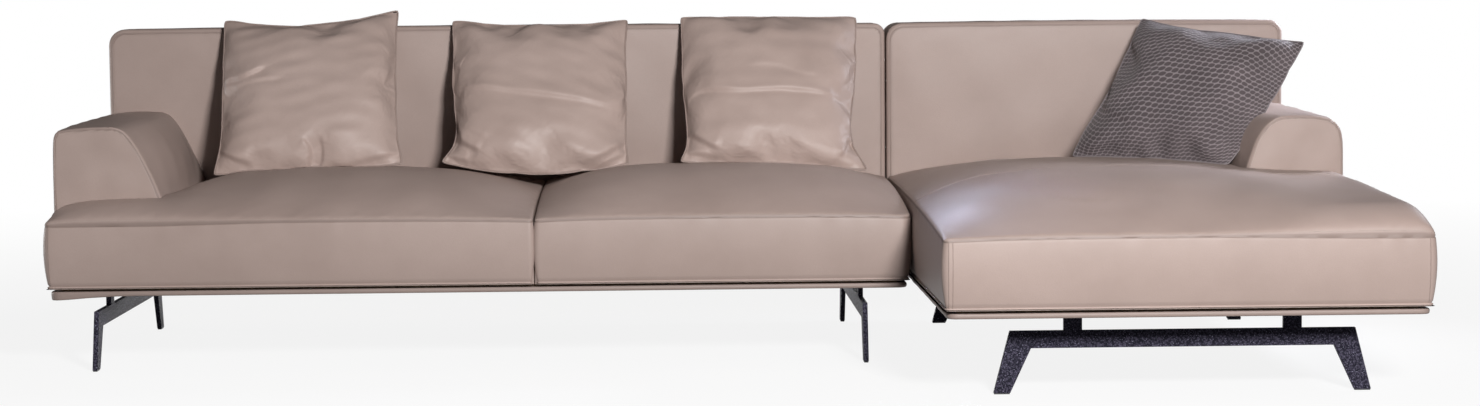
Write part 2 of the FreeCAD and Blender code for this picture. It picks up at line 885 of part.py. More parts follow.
# Three leather cushions lean on the sofa's back, and a woven one leans into the chaise's corner
def make_cushions(sofa_carriers, chaise_carriers):
    lean = math.radians(cushion_lean)
    centre_y = back_front_y - back_crown - back_contact_gap - cushion_height / 2 * math.sin(lean)
    centre_z = seam_height + sofa_crown + cushion_height / 2 * math.cos(lean)
    names = ("left_leather_cushion", "middle_leather_cushion", "right_leather_cushion")
    for name, x, roll in zip(names, leather_cushion_places, leather_cushion_rolls):
        centre = Vector(left_x + x, centre_y, centre_z + settle_start)
        make_cushion(name, centre, cushion_lean, 0.0, roll, sofa_carriers)
    woven_lean = math.radians(woven_cushion_lean)
    woven_centre = Vector(
        right_x - woven_cushion_side_setback,
        back_front_y - woven_cushion_setback,
        seam_height + chaise_crown + cushion_height / 2 * math.cos(woven_lean) + settle_start,
    )
    turn = woven_cushion_turn
    make_cushion(
        "woven_cushion", woven_centre, woven_cushion_lean, turn, woven_cushion_roll, chaise_carriers
    )


sofa_pocket = base_pocket(left_x, sofa_right_x, sofa_front_y)
chaise_pocket = base_pocket(chaise_left_x, right_x, chaise_front_y)
sofa_back_span = (left_x + back_side_inset, sofa_right_x)
chaise_back_span = (chaise_left_x, right_x - back_side_inset)
sofa_left_seat, sofa_right_seat, chaise_seat = make_seats()
left_arm = make_arm("left_arm", -1, sofa_pocket)
right_arm = make_arm("right_arm", 1, chaise_pocket)
sofa_back = make_back("sofa_back", *sofa_back_span, sofa_pocket)
chaise_back = make_back("chaise_back", *chaise_back_span, chaise_pocket)
make_bases()
make_sleds_and_plinths()
make_cushions([sofa_left_seat, sofa_right_seat, sofa_back], [chaise_seat, right_arm, chaise_back])
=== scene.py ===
import json
import math
from functools import partial

import bpy
import numpy as np
from mathutils import Matrix, Vector


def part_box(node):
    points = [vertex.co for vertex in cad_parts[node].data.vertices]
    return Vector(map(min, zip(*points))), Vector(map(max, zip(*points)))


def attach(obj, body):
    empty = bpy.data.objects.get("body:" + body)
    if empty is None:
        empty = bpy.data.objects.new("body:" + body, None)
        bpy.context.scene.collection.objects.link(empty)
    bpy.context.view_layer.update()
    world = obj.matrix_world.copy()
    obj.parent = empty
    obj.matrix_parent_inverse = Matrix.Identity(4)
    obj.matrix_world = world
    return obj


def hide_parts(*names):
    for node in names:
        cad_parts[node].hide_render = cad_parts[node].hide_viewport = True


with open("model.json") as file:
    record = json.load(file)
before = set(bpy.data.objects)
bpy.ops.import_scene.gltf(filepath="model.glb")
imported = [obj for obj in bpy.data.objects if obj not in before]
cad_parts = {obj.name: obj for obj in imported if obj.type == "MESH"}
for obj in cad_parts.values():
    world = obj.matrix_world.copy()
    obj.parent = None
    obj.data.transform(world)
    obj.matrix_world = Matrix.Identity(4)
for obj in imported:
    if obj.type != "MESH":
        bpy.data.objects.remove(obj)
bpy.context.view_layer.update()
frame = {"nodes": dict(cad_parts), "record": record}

print("frame loaded", len(frame["nodes"]), "nodes")


# Small array helpers

def unit(vectors):
    return vectors / np.maximum(np.linalg.norm(vectors, axis=-1, keepdims=True), 1e-12)


# 0 at zero, 1 from the span on, straight between
def climb(value, span):
    return np.clip(value / span, 0, 1)


# 1 at zero, fading out on both sides over about the width
def bell(value, width):
    return np.exp(-(value / width) ** 2)


# 1 in the middle of a span, 0 at its ends
def swell(share, power):
    return 1 - np.abs(1 - 2 * share) ** power


def easeStep(value, low, high):
    share = climb(value - low, high - low)
    return share * share * (3 - 2 * share)


# sine waves of a size (height, length) in seeded random directions, summed: up to about twice the height
def ripple(points, size, seed, waves=9):
    rng = np.random.default_rng(seed)
    directions = unit(rng.normal(size=(waves, points.shape[-1])))
    pitch = 2 * np.pi / (size[1] * rng.uniform(0.7, 1.4, waves))
    phase = rng.uniform(0, 2 * np.pi, waves)
    return size[0] * np.sin(points @ (directions * pitch[:, None]).T + phase).sum(-1) / math.sqrt(waves)


# Catmull-Rom curve: a cubic on each span whose slope at a point is half the chord round it
def smoothCurve(points, perSpan=12):
    points = np.asarray(points, float)
    before = np.vstack([2 * points[0] - points[1], points[:-2]])
    after = np.vstack([points[2:], 2 * points[-1] - points[-2]])
    a, b, c, d = (rows[:, None] for rows in (before, points[:-1], points[1:], after))
    t = np.linspace(0, 1, perSpan, endpoint=False)[None, :, None]
    curve = 2 * b + (c - a) * t + (2 * a - 5 * b + 4 * c - d) * t**2 + (3 * b - a - 3 * c + d) * t**3
    return np.vstack([0.5 * curve.reshape(-1, points.shape[1]), points[-1:]])


def pathLength(path):
    return np.concatenate([[0], np.cumsum(np.linalg.norm(np.diff(path, axis=0), axis=1))])


# values given along a path, read at some places of its length
def readAlong(places, along, values):
    return np.stack([np.interp(places, along, values[:, k]) for k in range(values.shape[1])], -1)


# the same path with points at even steps of its length
def evenPath(path, count):
    along = pathLength(path)
    return readAlong(np.linspace(0, along[-1], count), along, path)


edgeSteps = (0.0, 0.0008, 0.002, 0.0036, 0.0056, 0.008, 0.011, 0.015, 0.021, 0.029)


# lines across a span, close together near both ends where the edges roll over
def spreadLines(low, high, pitch, near=edgeSteps):
    near = np.array(near)
    count = max(2, round((high - low - 2 * near[-1]) / pitch))
    middle = np.linspace(low + near[-1], high - near[-1], count + 1)[1:-1]
    return np.concatenate([low + near, middle, high - near[::-1]])


# the same lines with more of them round a place where the surface turns sharply, and none close beside those
def moreLines(lines, place, rows, clear):
    middle = place + (rows.min() + rows.max()) / 2
    return np.sort(np.concatenate([lines[np.abs(lines - middle) > clear], place + rows]))


# distance of each point from the nearest of some others
def nearest(points, others):
    return np.sqrt(((points[:, None] - others[None]) ** 2).sum(-1)).min(1)


# the way out of a closed outline at each of its points
def outwardOf(outline):
    ahead = unit(np.roll(outline, -1, 0) - np.roll(outline, 1, 0))
    return np.stack([ahead[:, 1], -ahead[:, 0]], -1)


# the longest unbroken run of closed rows on which the mask holds
def runOf(mask, *rows):
    start = int(np.argmin(mask))
    turned = np.roll(mask, -start)
    edges = np.flatnonzero(np.diff(np.concatenate([[0], turned.astype(int), [0]])))
    longest = max(zip(edges[::2], edges[1::2]), key=lambda span: span[1] - span[0])
    return [np.roll(row, -start, 0)[slice(*longest)] for row in rows]


# quarter-round lift near an edge: 0 on the edge, the radius from there inward
def rollLift(distance, radius):
    return radius * np.sqrt(1 - (1 - climb(distance, radius)) ** 2)


# Square corners of a plan drawn round: the elliptical map of a square onto a disc, at each corner
def roundCorners(x, y, box, radii):
    x0, x1, y0, y1 = box
    x, y = x.copy(), y.copy()
    corners = ((x0, y0, -1, -1), (x1, y0, 1, -1), (x1, y1, 1, 1), (x0, y1, -1, 1))
    for (cornerX, cornerY, signX, signY), radius in zip(corners, radii):
        if radius <= 0:
            continue
        p, q = 1 - np.abs(cornerX - x) / radius, 1 - np.abs(cornerY - y) / radius
        inside = (p > 0) & (q > 0)
        p, q = np.where(inside, p, 0), np.where(inside, q, 0)
        newP, newQ = p * np.sqrt(1 - q * q / 2), q * np.sqrt(1 - p * p / 2)
        x = np.where(inside, cornerX - signX * radius * (1 - newP), x)
        y = np.where(inside, cornerY - signY * radius * (1 - newQ), y)
    return x, y


# Pieces

def dress(name, points, faces, body, slot, material, stands=(), fields=None):
    mesh = bpy.data.meshes.new(name)
    mesh.from_pydata(np.asarray(points).tolist(), [], [list(face) for face in faces])
    mesh.update()
    mesh.shade_smooth()
    for field, values in (fields or {}).items():
        data = mesh.attributes.new(field, "FLOAT", "POINT").data
        data.foreach_set("value", np.asarray(values, np.float32))
    piece = bpy.data.objects.new(name, mesh)
    bpy.context.scene.collection.objects.link(piece)
    mesh.materials.append(material)
    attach(piece, body)
    if stands:
        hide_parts(*stands)
    return piece


# Faces of a closed block: a grid with some cells left out, the same grid below, and a wall round them.
# corners are the grid's outline as (column, row), counter-clockwise seen from above.
def blockTopology(keep, corners, wallRows):
    nodes = np.zeros((keep.shape[0] + 1, keep.shape[1] + 1), bool)
    for shiftX in (0, 1):
        for shiftY in (0, 1):
            nodes[shiftX:shiftX + keep.shape[0], shiftY:shiftY + keep.shape[1]] |= keep
    count = nodes.sum()
    number = np.full(nodes.shape, -1)
    number[nodes] = np.arange(count)
    runs = []
    for (i0, j0), (i1, j1) in zip(corners, corners[1:] + corners[:1]):
        steps = max(abs(i1 - i0), abs(j1 - j0))
        runs.append(np.linspace((i0, j0), (i1, j1), steps, endpoint=False).round().astype(int))
    loop = np.concatenate(runs)
    upper = number[loop[:, 0], loop[:, 1]]
    inner = 2 * count + np.arange(wallRows * len(loop)).reshape(wallRows, len(loop))
    rings = np.vstack([upper, inner, upper + count])
    a, b = rings[:-1], rings[1:]
    wall = np.stack([a, b, np.roll(b, -1, 1), np.roll(a, -1, 1)], -1).reshape(-1, 4)
    i, j = np.nonzero(keep)
    top = np.stack([number[i, j], number[i + 1, j], number[i + 1, j + 1], number[i, j + 1]], -1)
    return nodes, loop, np.concatenate([top, wall, top[:, ::-1] + count]), upper


# the same for a plain rectangle of columns by rows
def fullBlock(columns, rows, wallRows):
    corners = [(0, 0), (columns, 0), (columns, rows), (0, rows)]
    return blockTopology(np.ones((columns, rows), bool), corners, wallRows)


# Faces of n rings of m points, one after another; an open row ends in a fan to one more point on each side
def ringFaces(n, m, closed=False):
    index = np.arange(n * m).reshape(n, m)
    a = index if closed else index[:-1]
    b = np.roll(index, -1, 0) if closed else index[1:]
    faces = np.stack([a, np.roll(a, -1, 1), np.roll(b, -1, 1), b], -1).reshape(-1, 4).tolist()
    if not closed:
        first, last = index[0], index[-1]
        faces += np.stack([np.roll(first, -1), first, np.full(m, n * m)], -1).tolist()
        faces += np.stack([last, np.roll(last, -1), np.full(m, n * m + 1)], -1).tolist()
    return faces


# A profile of (side, up) offsets carried along a path
def sweepProfile(path, profile, up, closed=False):
    after, before = np.roll(path, -1, 0), np.roll(path, 1, 0)
    if not closed:
        after[-1], before[0] = path[-1], path[0]
    tangent = unit(after - before)
    side = unit(np.cross(tangent, up))
    rise = np.cross(side, tangent)
    rings = path[:, None] + side[:, None] * profile[None, :, :1] + rise[:, None] * profile[None, :, 1:]
    points = rings.reshape(-1, 3)
    if not closed:
        points = np.vstack([points, path[:1], path[-1:]])
    return points, ringFaces(*rings.shape[:2], closed)


def circle(radius, sides=8):
    angle = np.arange(sides) * 2 * np.pi / sides
    return np.stack([np.cos(angle), np.sin(angle)], -1) * radius


def join(parts):
    points, faces, start = [], [], 0
    for somePoints, someFaces in parts:
        points.append(somePoints)
        faces += [[corner + start for corner in face] for face in someFaces]
        start += len(somePoints)
    return np.vstack(points), faces


# one thread is a barrel of four sides between two tips, given as shares of its length and radius
stitchLooks = {"pitch": 0.0046, "length": 0.0034, "radius": 0.00045, "tip": 0.5, "shoulder": 0.28,
               "sunk": -0.4, "reach": 0.0005}


# Short rounded threads along a path: one at each step of its length, sunk by half into the leather
def stitchRow(path, outward):
    looks = stitchLooks
    along = pathLength(path)
    count = max(2, int(along[-1] / looks["pitch"]))
    places = (np.arange(count) + 0.5) * along[-1] / count
    centre = readAlong(places, along, path)
    ahead, behind = (readAlong(places + shift, along, path) for shift in (looks["reach"], -looks["reach"]))
    tangent = unit(ahead - behind)
    side = unit(np.cross(tangent, readAlong(places, along, outward)))
    rise = np.cross(side, tangent)
    rings = [np.insert(circle(1.0, 4), 0, place, 1) for place in (-looks["shoulder"], looks["shoulder"])]
    shape = np.vstack([(-looks["tip"], 0, looks["sunk"]), *rings, (looks["tip"], 0, looks["sunk"])])
    shape = shape * (looks["length"], looks["radius"], looks["radius"])
    points = (centre[:, None] + tangent[:, None] * shape[None, :, :1] + side[:, None] * shape[None, :, 1:2]
              + rise[:, None] * shape[None, :, 2:])
    here = np.arange(4)
    after = np.roll(here, -1)
    tips = np.concatenate([np.stack([np.zeros(4, int), 1 + after, 1 + here], -1),
                           np.stack([np.full(4, 9), 5 + here, 5 + after], -1)])
    sides = np.stack([1 + here, 1 + after, 5 + after, 5 + here], -1)
    starts = np.arange(count)[:, None, None] * len(shape)
    faces = (tips + starts).reshape(-1, 3).tolist() + (sides + starts).reshape(-1, 4).tolist()
    return points.reshape(-1, 3), faces


# Materials

# each input, by its name or number, gets a value or the output of another node
def feed(tree, node, inputs):
    for label, value in inputs.items():
        if isinstance(value, bpy.types.NodeSocket):
            tree.links.new(value, node.inputs[label])
        else:
            node.inputs[label].default_value = value


def addNode(tree, kind, inputs=None, **settings):
    node = tree.nodes.new("ShaderNode" + kind)
    for key, value in settings.items():
        setattr(node, key, value)
    feed(tree, node, inputs or {})
    return node


def mathNode(tree, operation, first, second=None):
    inputs = {0: first} if second is None else {0: first, 1: second}
    return addNode(tree, "Math", inputs, operation=operation).outputs[0]


def rangeNode(tree, value, low, high, newLow, newHigh):
    inputs = {"Value": value, "From Min": low, "From Max": high, "To Min": newLow, "To Max": newHigh}
    return addNode(tree, "MapRange", inputs).outputs["Result"]


def bumpNode(tree, height, strength, distance):
    inputs = {"Height": height, "Strength": strength, "Distance": distance}
    return addNode(tree, "Bump", inputs).outputs["Normal"]


def mixColour(tree, factor, first, second, blend="MIX"):
    inputs = {"Factor": factor, "A": first, "B": second}
    return addNode(tree, "Mix", inputs, data_type="RGBA", blend_type=blend).outputs["Result"]


# inputs with their defaults, a tuple for a colour; every group has a Vector input too
def makeGroup(name, inputs, outputs):
    group = bpy.data.node_groups.new(name, "ShaderNodeTree")
    group.interface.new_socket("Vector", in_out="INPUT", socket_type="NodeSocketVector")
    for label, default in inputs.items():
        kind = "NodeSocketColor" if isinstance(default, tuple) else "NodeSocketFloat"
        group.interface.new_socket(label, in_out="INPUT", socket_type=kind).default_value = default
    for label, kind in outputs.items():
        group.interface.new_socket(label, in_out="OUTPUT", socket_type=kind)
    return group, group.nodes.new("NodeGroupInput").outputs, group.nodes.new("NodeGroupOutput")


# pebbled hide: rounded cells of two sizes with fine noise between them
def buildGrain():
    group, given, out = makeGroup("hideGrain", {"Scale": 520.0},
                                  {"Height": "NodeSocketFloat", "Pores": "NodeSocketFloat"})
    combine = partial(mathNode, group)
    place, scale = given["Vector"], given["Scale"]
    cells = addNode(group, "TexVoronoi", {"Vector": place, "Scale": scale, "Smoothness": 0.35},
                    feature="SMOOTH_F1")
    folds = addNode(group, "TexVoronoi", {"Vector": place, "Scale": combine("MULTIPLY", scale, 0.36)},
                    feature="DISTANCE_TO_EDGE")
    noise = addNode(group, "TexNoise",
                    {"Vector": place, "Scale": combine("MULTIPLY", scale, 0.22), "Detail": 3.0})
    pebble = combine("MULTIPLY", combine("SUBTRACT", 1.0, cells.outputs["Distance"]), 0.5)
    fold = combine("MULTIPLY", combine("MINIMUM", folds.outputs["Distance"], 0.12), 2.4)
    height = combine("ADD", combine("ADD", pebble, fold), combine("MULTIPLY", noise.outputs["Fac"], 0.7))
    feed(group, out, {"Height": height, "Pores": cells.outputs["Distance"]})
    return group


# a colour that drifts between two tones over hand-sized patches
def buildTone():
    group, given, out = makeGroup("patchTone", {"Scale": 4.0, "Light": (1, 1, 1, 1), "Dark": (0, 0, 0, 1)},
                                  {"Color": "NodeSocketColor", "Mask": "NodeSocketFloat"})
    noise = addNode(group, "TexNoise", {"Vector": given["Vector"], "Scale": given["Scale"], "Detail": 4.0,
                                        "Roughness": 0.6})
    mask = rangeNode(group, noise.outputs["Fac"], 0.32, 0.68, 0.0, 1.0)
    feed(group, out, {"Color": mixColour(group, mask, given["Dark"], given["Light"]), "Mask": mask})
    return group


# basket weave on the UV map: staggered rows of slanted dark ovals with a raised light thread round each
def buildWeave():
    slant, ovalPower, threadAt, threadHalf = 0.30, 2.4, 1.6, 0.5
    group, given, out = makeGroup("basketWeave", {"Across": 68.0, "Along": 74.0},
                                  {"Oval": "NodeSocketFloat", "Height": "NodeSocketFloat"})
    combine = partial(mathNode, group)
    axes = addNode(group, "SeparateXYZ", {0: given["Vector"]}).outputs
    rows = combine("MULTIPLY", axes["Y"], given["Along"])
    columns = combine("MULTIPLY", axes["X"], given["Across"])
    columns = combine("ADD", columns, combine("MULTIPLY", combine("FLOOR", rows), 0.5))
    along, across = (combine("SUBTRACT", combine("FRACT", cells), 0.5) for cells in (rows, columns))
    across = combine("SUBTRACT", across, combine("MULTIPLY", along, slant))
    wide, tall = (combine("POWER", combine("MULTIPLY", combine("ABSOLUTE", way), narrow), ovalPower)
                  for way, narrow in ((across, 2.35), (along, 2.45)))
    distance = combine("ADD", wide, tall)
    fromThread = combine("ABSOLUTE", combine("SUBTRACT", distance, threadAt))
    raised = rangeNode(group, fromThread, threadHalf, 0.0, 0.0, 1.0)
    pillow = combine("MAXIMUM", combine("MULTIPLY", combine("SUBTRACT", 1.0, distance), 0.35), 0.0)
    yarn = addNode(group, "TexNoise", {"Vector": given["Vector"], "Scale": 900.0}).outputs["Fac"]
    height = combine("ADD", combine("ADD", raised, pillow), combine("MULTIPLY", yarn, 0.5))
    feed(group, out, {"Oval": rangeNode(group, distance, 1.45, 0.95, 0.0, 1.0), "Height": height})
    return group


def newMaterial(name):
    material = bpy.data.materials.new(name)
    material.use_nodes = True
    tree = material.node_tree
    return material, tree, tree.nodes["Principled BSDF"], addNode(tree, "TexCoord").outputs["Object"]


def placeGroup(tree, group, vector, **values):
    return addNode(tree, "Group", {"Vector": vector, **values}, node_tree=group).outputs


# the seam colour is painted shade, laid into the seam grooves, hems and piping lines
leatherLooks = {
    "light": (0.390, 0.303, 0.270, 1), "dark": (0.334, 0.256, 0.226, 1), "seam": (0.12, 0.085, 0.07, 1),
    "patches": 3.5, "grainScale": 520.0, "pores": (0.3, 0.75, 0.0, 0.35), "bump": (0.55, 0.00025),
    "roughness": (0.45, 0.54), "specular": 0.38,
}


# taupe hide: drifting tone, pebbled grain, and painted shade: the dark seam colour laid on where the
# seamShade attribute marks the seam grooves, hems and piping lines
def makeLeather(name, shade=1.0):
    looks = leatherLooks
    material, tree, shader, vector = newMaterial(name)
    light, dark = (tuple(c * shade for c in looks[key][:3]) + (1,) for key in ("light", "dark"))
    hide = placeGroup(tree, grain, vector, Scale=looks["grainScale"])
    patches = placeGroup(tree, tone, vector, Scale=looks["patches"], Light=light, Dark=dark)
    seamShade = addNode(tree, "Attribute", attribute_name="seamShade").outputs["Fac"]
    colour = mixColour(tree, rangeNode(tree, hide["Pores"], *looks["pores"]), patches["Color"], dark)
    feed(tree, shader, {
        "Base Color": mixColour(tree, seamShade, colour, looks["seam"]),
        "Roughness": rangeNode(tree, patches["Mask"], 0, 1, *looks["roughness"]),
        "Normal": bumpNode(tree, hide["Height"], *looks["bump"]),
        "Specular IOR Level": looks["specular"],
    })
    return material


weaveLooks = {
    "thread": (0.275, 0.235, 0.245, 1), "band": (0.090, 0.072, 0.076, 1), "across": 66.0, "along": 76.0,
    "patches": 9.0, "patchLight": (1.12, 1.12, 1.12, 1), "patchDark": (0.86, 0.86, 0.86, 1),
    "roughness": (0.5, 0.72), "bump": (0.8, 0.0011), "specular": 0.35, "sheen": 0.12,
}


# coarse basket cloth: dark bands under lighter thread, laid by the cushion's own UV map
def makeWoven(looks):
    material, tree, shader, vector = newMaterial("basketCloth")
    flat = addNode(tree, "UVMap", uv_map="pattern").outputs["UV"]
    cloth = placeGroup(tree, weave, flat, Across=looks["across"], Along=looks["along"])
    patches = placeGroup(tree, tone, vector, Scale=looks["patches"], Light=looks["patchLight"],
                         Dark=looks["patchDark"])
    colour = mixColour(tree, cloth["Oval"], looks["thread"], looks["band"])
    feed(tree, shader, {
        "Base Color": mixColour(tree, 1.0, colour, patches["Color"], "MULTIPLY"),
        "Roughness": rangeNode(tree, cloth["Oval"], 0, 1, *looks["roughness"]),
        "Normal": bumpNode(tree, cloth["Height"], *looks["bump"]),
        "Specular IOR Level": looks["specular"],
        "Sheen Weight": looks["sheen"],
    })
    return material


# dents and specks as texture scale, then the values between which they fade
hammerLooks = {
    "pit": (0.014, 0.013, 0.022, 1), "face": (0.070, 0.063, 0.096, 1), "spark": (0.50, 0.50, 0.66, 1),
    "dents": (210.0, (0.15, 0.6, 0, 1)), "specks": (420.0, (0.62, 0.72, 0, 0.8)),
    "roughness": (0.3, 0.7, 0.85, 0.50), "bump": (0.9, 0.0009), "specular": 0.07,
}


# hammered coating: rounded dents with dark hollows and a few bright bluish specks
def makeHammered(looks):
    material, tree, shader, vector = newMaterial("hammeredCoating")
    dents = addNode(tree, "TexVoronoi", {"Vector": vector, "Scale": looks["dents"][0], "Smoothness": 0.6},
                    feature="SMOOTH_F1").outputs["Distance"]
    specks = addNode(tree, "TexNoise",
                     {"Vector": vector, "Scale": looks["specks"][0], "Detail": 2.0}).outputs["Fac"]
    colour = mixColour(tree, rangeNode(tree, dents, *looks["dents"][1]), looks["face"], looks["pit"])
    feed(tree, shader, {
        "Base Color": mixColour(tree, rangeNode(tree, specks, *looks["specks"][1]), colour, looks["spark"]),
        "Roughness": rangeNode(tree, specks, *looks["roughness"]),
        "Normal": bumpNode(tree, dents, *looks["bump"]),
        "Specular IOR Level": looks["specular"],
    })
    return material


# what every hidden piece is made of: two tones, how large their patches are, roughness, grain size and depth
plainLooks = {
    "foam": ((0.80, 0.76, 0.62), (0.70, 0.65, 0.50), 6.0, 0.9, 700.0, 0.0008),
    "feather_fibre": ((0.85, 0.84, 0.80), (0.76, 0.75, 0.70), 8.0, 0.95, 260.0, 0.0012),
    "timber": ((0.58, 0.43, 0.26), (0.44, 0.30, 0.17), 14.0, 0.6, 90.0, 0.0004),
    "plywood": ((0.62, 0.48, 0.32), (0.50, 0.37, 0.23), 20.0, 0.6, 160.0, 0.0004),
    "fibreboard": ((0.38, 0.26, 0.16), (0.28, 0.18, 0.11), 30.0, 0.7, 800.0, 0.0003),
    "webbing": ((0.22, 0.21, 0.19), (0.12, 0.11, 0.10), 60.0, 0.8, 500.0, 0.0007),
    "felt": ((0.44, 0.43, 0.42), (0.33, 0.32, 0.31), 25.0, 0.95, 600.0, 0.0008),
    "lining_cloth": ((0.045, 0.045, 0.047), (0.025, 0.025, 0.026), 12.0, 0.9, 900.0, 0.0004),
    "zinc_steel": ((0.66, 0.66, 0.65), (0.52, 0.53, 0.54), 80.0, 0.32, 400.0, 0.0001),
    "glide_plastic": ((0.04, 0.04, 0.042), (0.028, 0.028, 0.03), 40.0, 0.5, 600.0, 0.0002),
}
# how many rings or plies, and how far they wander
woodRings = {"timber": (45.0, 6.0), "plywood": (110.0, 0.3)}


def makePlain(name, looks):
    light, dark, patch, rough, grainSize, depth = looks
    material, tree, shader, vector = newMaterial(name)
    patches = placeGroup(tree, tone, vector, Scale=patch, Light=light + (1,), Dark=dark + (1,))
    surface = placeGroup(tree, grain, vector, Scale=grainSize)
    colour = patches["Color"]
    if name in woodRings:
        scale, wander = woodRings[name]
        rings = addNode(tree, "TexWave", {"Vector": vector, "Scale": scale, "Distortion": wander},
                        wave_type="BANDS", bands_direction="Z").outputs["Fac"]
        colour = mixColour(tree, rangeNode(tree, rings, 0, 1, 0, 0.45), colour, dark + (1,))
    feed(tree, shader, {
        "Base Color": colour,
        "Roughness": rangeNode(tree, surface["Pores"], 0, 1, rough - 0.05, min(1.0, rough + 0.08)),
        "Normal": bumpNode(tree, surface["Height"], 0.6, depth),
        "Metallic": 1.0 if name == "zinc_steel" else 0.0,
    })
    return material


threadLooks = {"light": (0.50, 0.42, 0.37, 1), "dark": (0.38, 0.31, 0.27, 1)}
weltLooks = {"light": (0.25, 0.22, 0.225, 1), "dark": (0.17, 0.145, 0.15, 1)}


# twisted sewing thread: a light core with darker turns
def makeThread(looks):
    material, tree, shader, vector = newMaterial("sewingThread")
    turns = placeGroup(tree, tone, vector, Scale=900.0, Light=looks["light"], Dark=looks["dark"])
    feed(tree, shader, {
        "Base Color": turns["Color"],
        "Roughness": rangeNode(tree, turns["Mask"], 0, 1, 0.5, 0.7),
        "Normal": bumpNode(tree, turns["Mask"], 0.5, 0.0002),
    })
    return material


grain = buildGrain()
tone = buildTone()
weave = buildWeave()
leather = makeLeather("taupeLeather")
# painted shade: a darker copy of the hide for the piping and the leather cushions' welts
shadedPipingLeather = makeLeather("shadedPipingLeather", 0.86)
# painted highlight: a lighter copy of the hide for the hems
highlitHemLeather = makeLeather("highlitHemLeather", 1.15)
# painted shade: a darker copy of the hide for the plinth under the seats' overhang
shadedPlinthLeather = makeLeather("shadedPlinthLeather", 0.78)
# painted light: a lighter copy of the same hide for the leather cushions
litCushionLeather = makeLeather("litCushionHide", 1.13)
weltCloth = makeThread(weltLooks)
woven = makeWoven(weaveLooks)
thread = makeThread(threadLooks)
finishes = {slot: makePlain(slot, looks) for slot, looks in plainLooks.items()}
finishes.update(taupe_leather=leather, woven_fabric=woven, hammered_steel=makeHammered(hammerLooks))
for part in frame["record"]["subparts"]:
    solid = frame["nodes"][part["node"]]
    solid.data.materials.clear()
    solid.data.materials.append(finishes[part["material_slot"]])
print("materials made and given to", len(frame["nodes"]), "nodes")


# one leather cover of the sofa, in place of the node that covers it and its foam
def dressCover(name, points, faces, seamShade):
    return dress(name, points, faces, "sofa", "taupe_leather", leather, (name + "_cover", name + "_foam"),
                 {"seamShade": seamShade})


# Seats

sofaEdge, armWidth = 1.59, 0.262
armBulge = (0.008, 0.042)  # at seat height, and from half way up the arm
seatLooks = {
    "seam": 0.362, "bottom": 0.203, "wallHeight": 0.16, "inset": 0.002, "besideArmInset": 0.2,
    "pitch": 0.011, "roll": 0.008, "sink": 0.0012, "sinkWidth": 0.0016, "arch": 0.006, "sideRise": 0.045,
    "power": 3.7, "frontPower": 2.6, "rearPower": 1.8, "edgeFade": 0.12, "pull": 0.3,
    "waves": (0.0012, 0.2), "waveEdge": 0.05, "puckers": (0.0008, 0.034), "puckerReach": (0.028, 0.006),
    "bulge": (0.0215, -0.0285), "wallWaves": (0.0007, 0.05), "wallWaveReach": 0.1,
    "hemPlace": 0.95, "hemWidth": 0.012, "hemDepth": 0.0022, "groove": 0.0014,
    "notchGap": 0.0012, "notchRows": (0.0, 0.0012, 0.003, 0.0056, 0.009), "notchClear": 0.010,
}
# crown, where the crest starts and ends, the drop behind it, and the outer side's swell out of its seam
seatForms = {
    "sofa_left_seat": {"crown": 0.100, "peak": (0.5, 0.5), "drop": 0.34, "edge": (0.040, 0.045),
                       "ramp": (0.20, 0.60), "radii": (0.016, 0.012, 0.010, 0.0), "free": (True, False),
                       "seed": 11},
    "sofa_right_seat": {"crown": 0.100, "peak": (0.5, 0.5), "drop": 0.34,
                        "radii": (0.012, 0.024, 0.010, 0.010), "free": (False, True), "seed": 23},
    "chaise_seat": {"crown": 0.110, "peak": (0.36, 0.66), "drop": 0.29, "edge": (0.056, 0.013),
                    "ramp": (0.06, 0.543), "radii": (0.014, 0.016, 0.0, 0.010), "free": (True, True),
                    "seed": 37},
}
# the left seat beside its arm: between which depths it settles, its height there, the fall, its climb inward
besideArm = {"span": (-0.085, 0.125), "height": 0.417, "fall": 0.012, "from": -0.025, "length": 0.66,
             "climb": 0.095}
crossSeam = {"place": -0.140, "width": 0.0045, "depth": 0.0032, "groove": 0.0022, "clear": 0.012,
             "rows": (-0.009, -0.005, -0.0025, 0, 0.0025, 0.005, 0.009)}
wallShares = np.array([0.0, 0.006, 0.014, 0.026, 0.045, 0.075, 0.12, 0.18, 0.25, 0.33, 0.42, 0.51, 0.6,
                       0.69, 0.77, 0.84, 0.89, 0.925, 0.95, 0.965, 0.98, 0.992, 1.0])


# how far an arm reaches in past its own width at seat height: a bulge in the middle of its length
def armSwell(y, arm):
    return armBulge[0] * swell(climb(y - arm[0].y, arm[1].y - arm[0].y), 2)


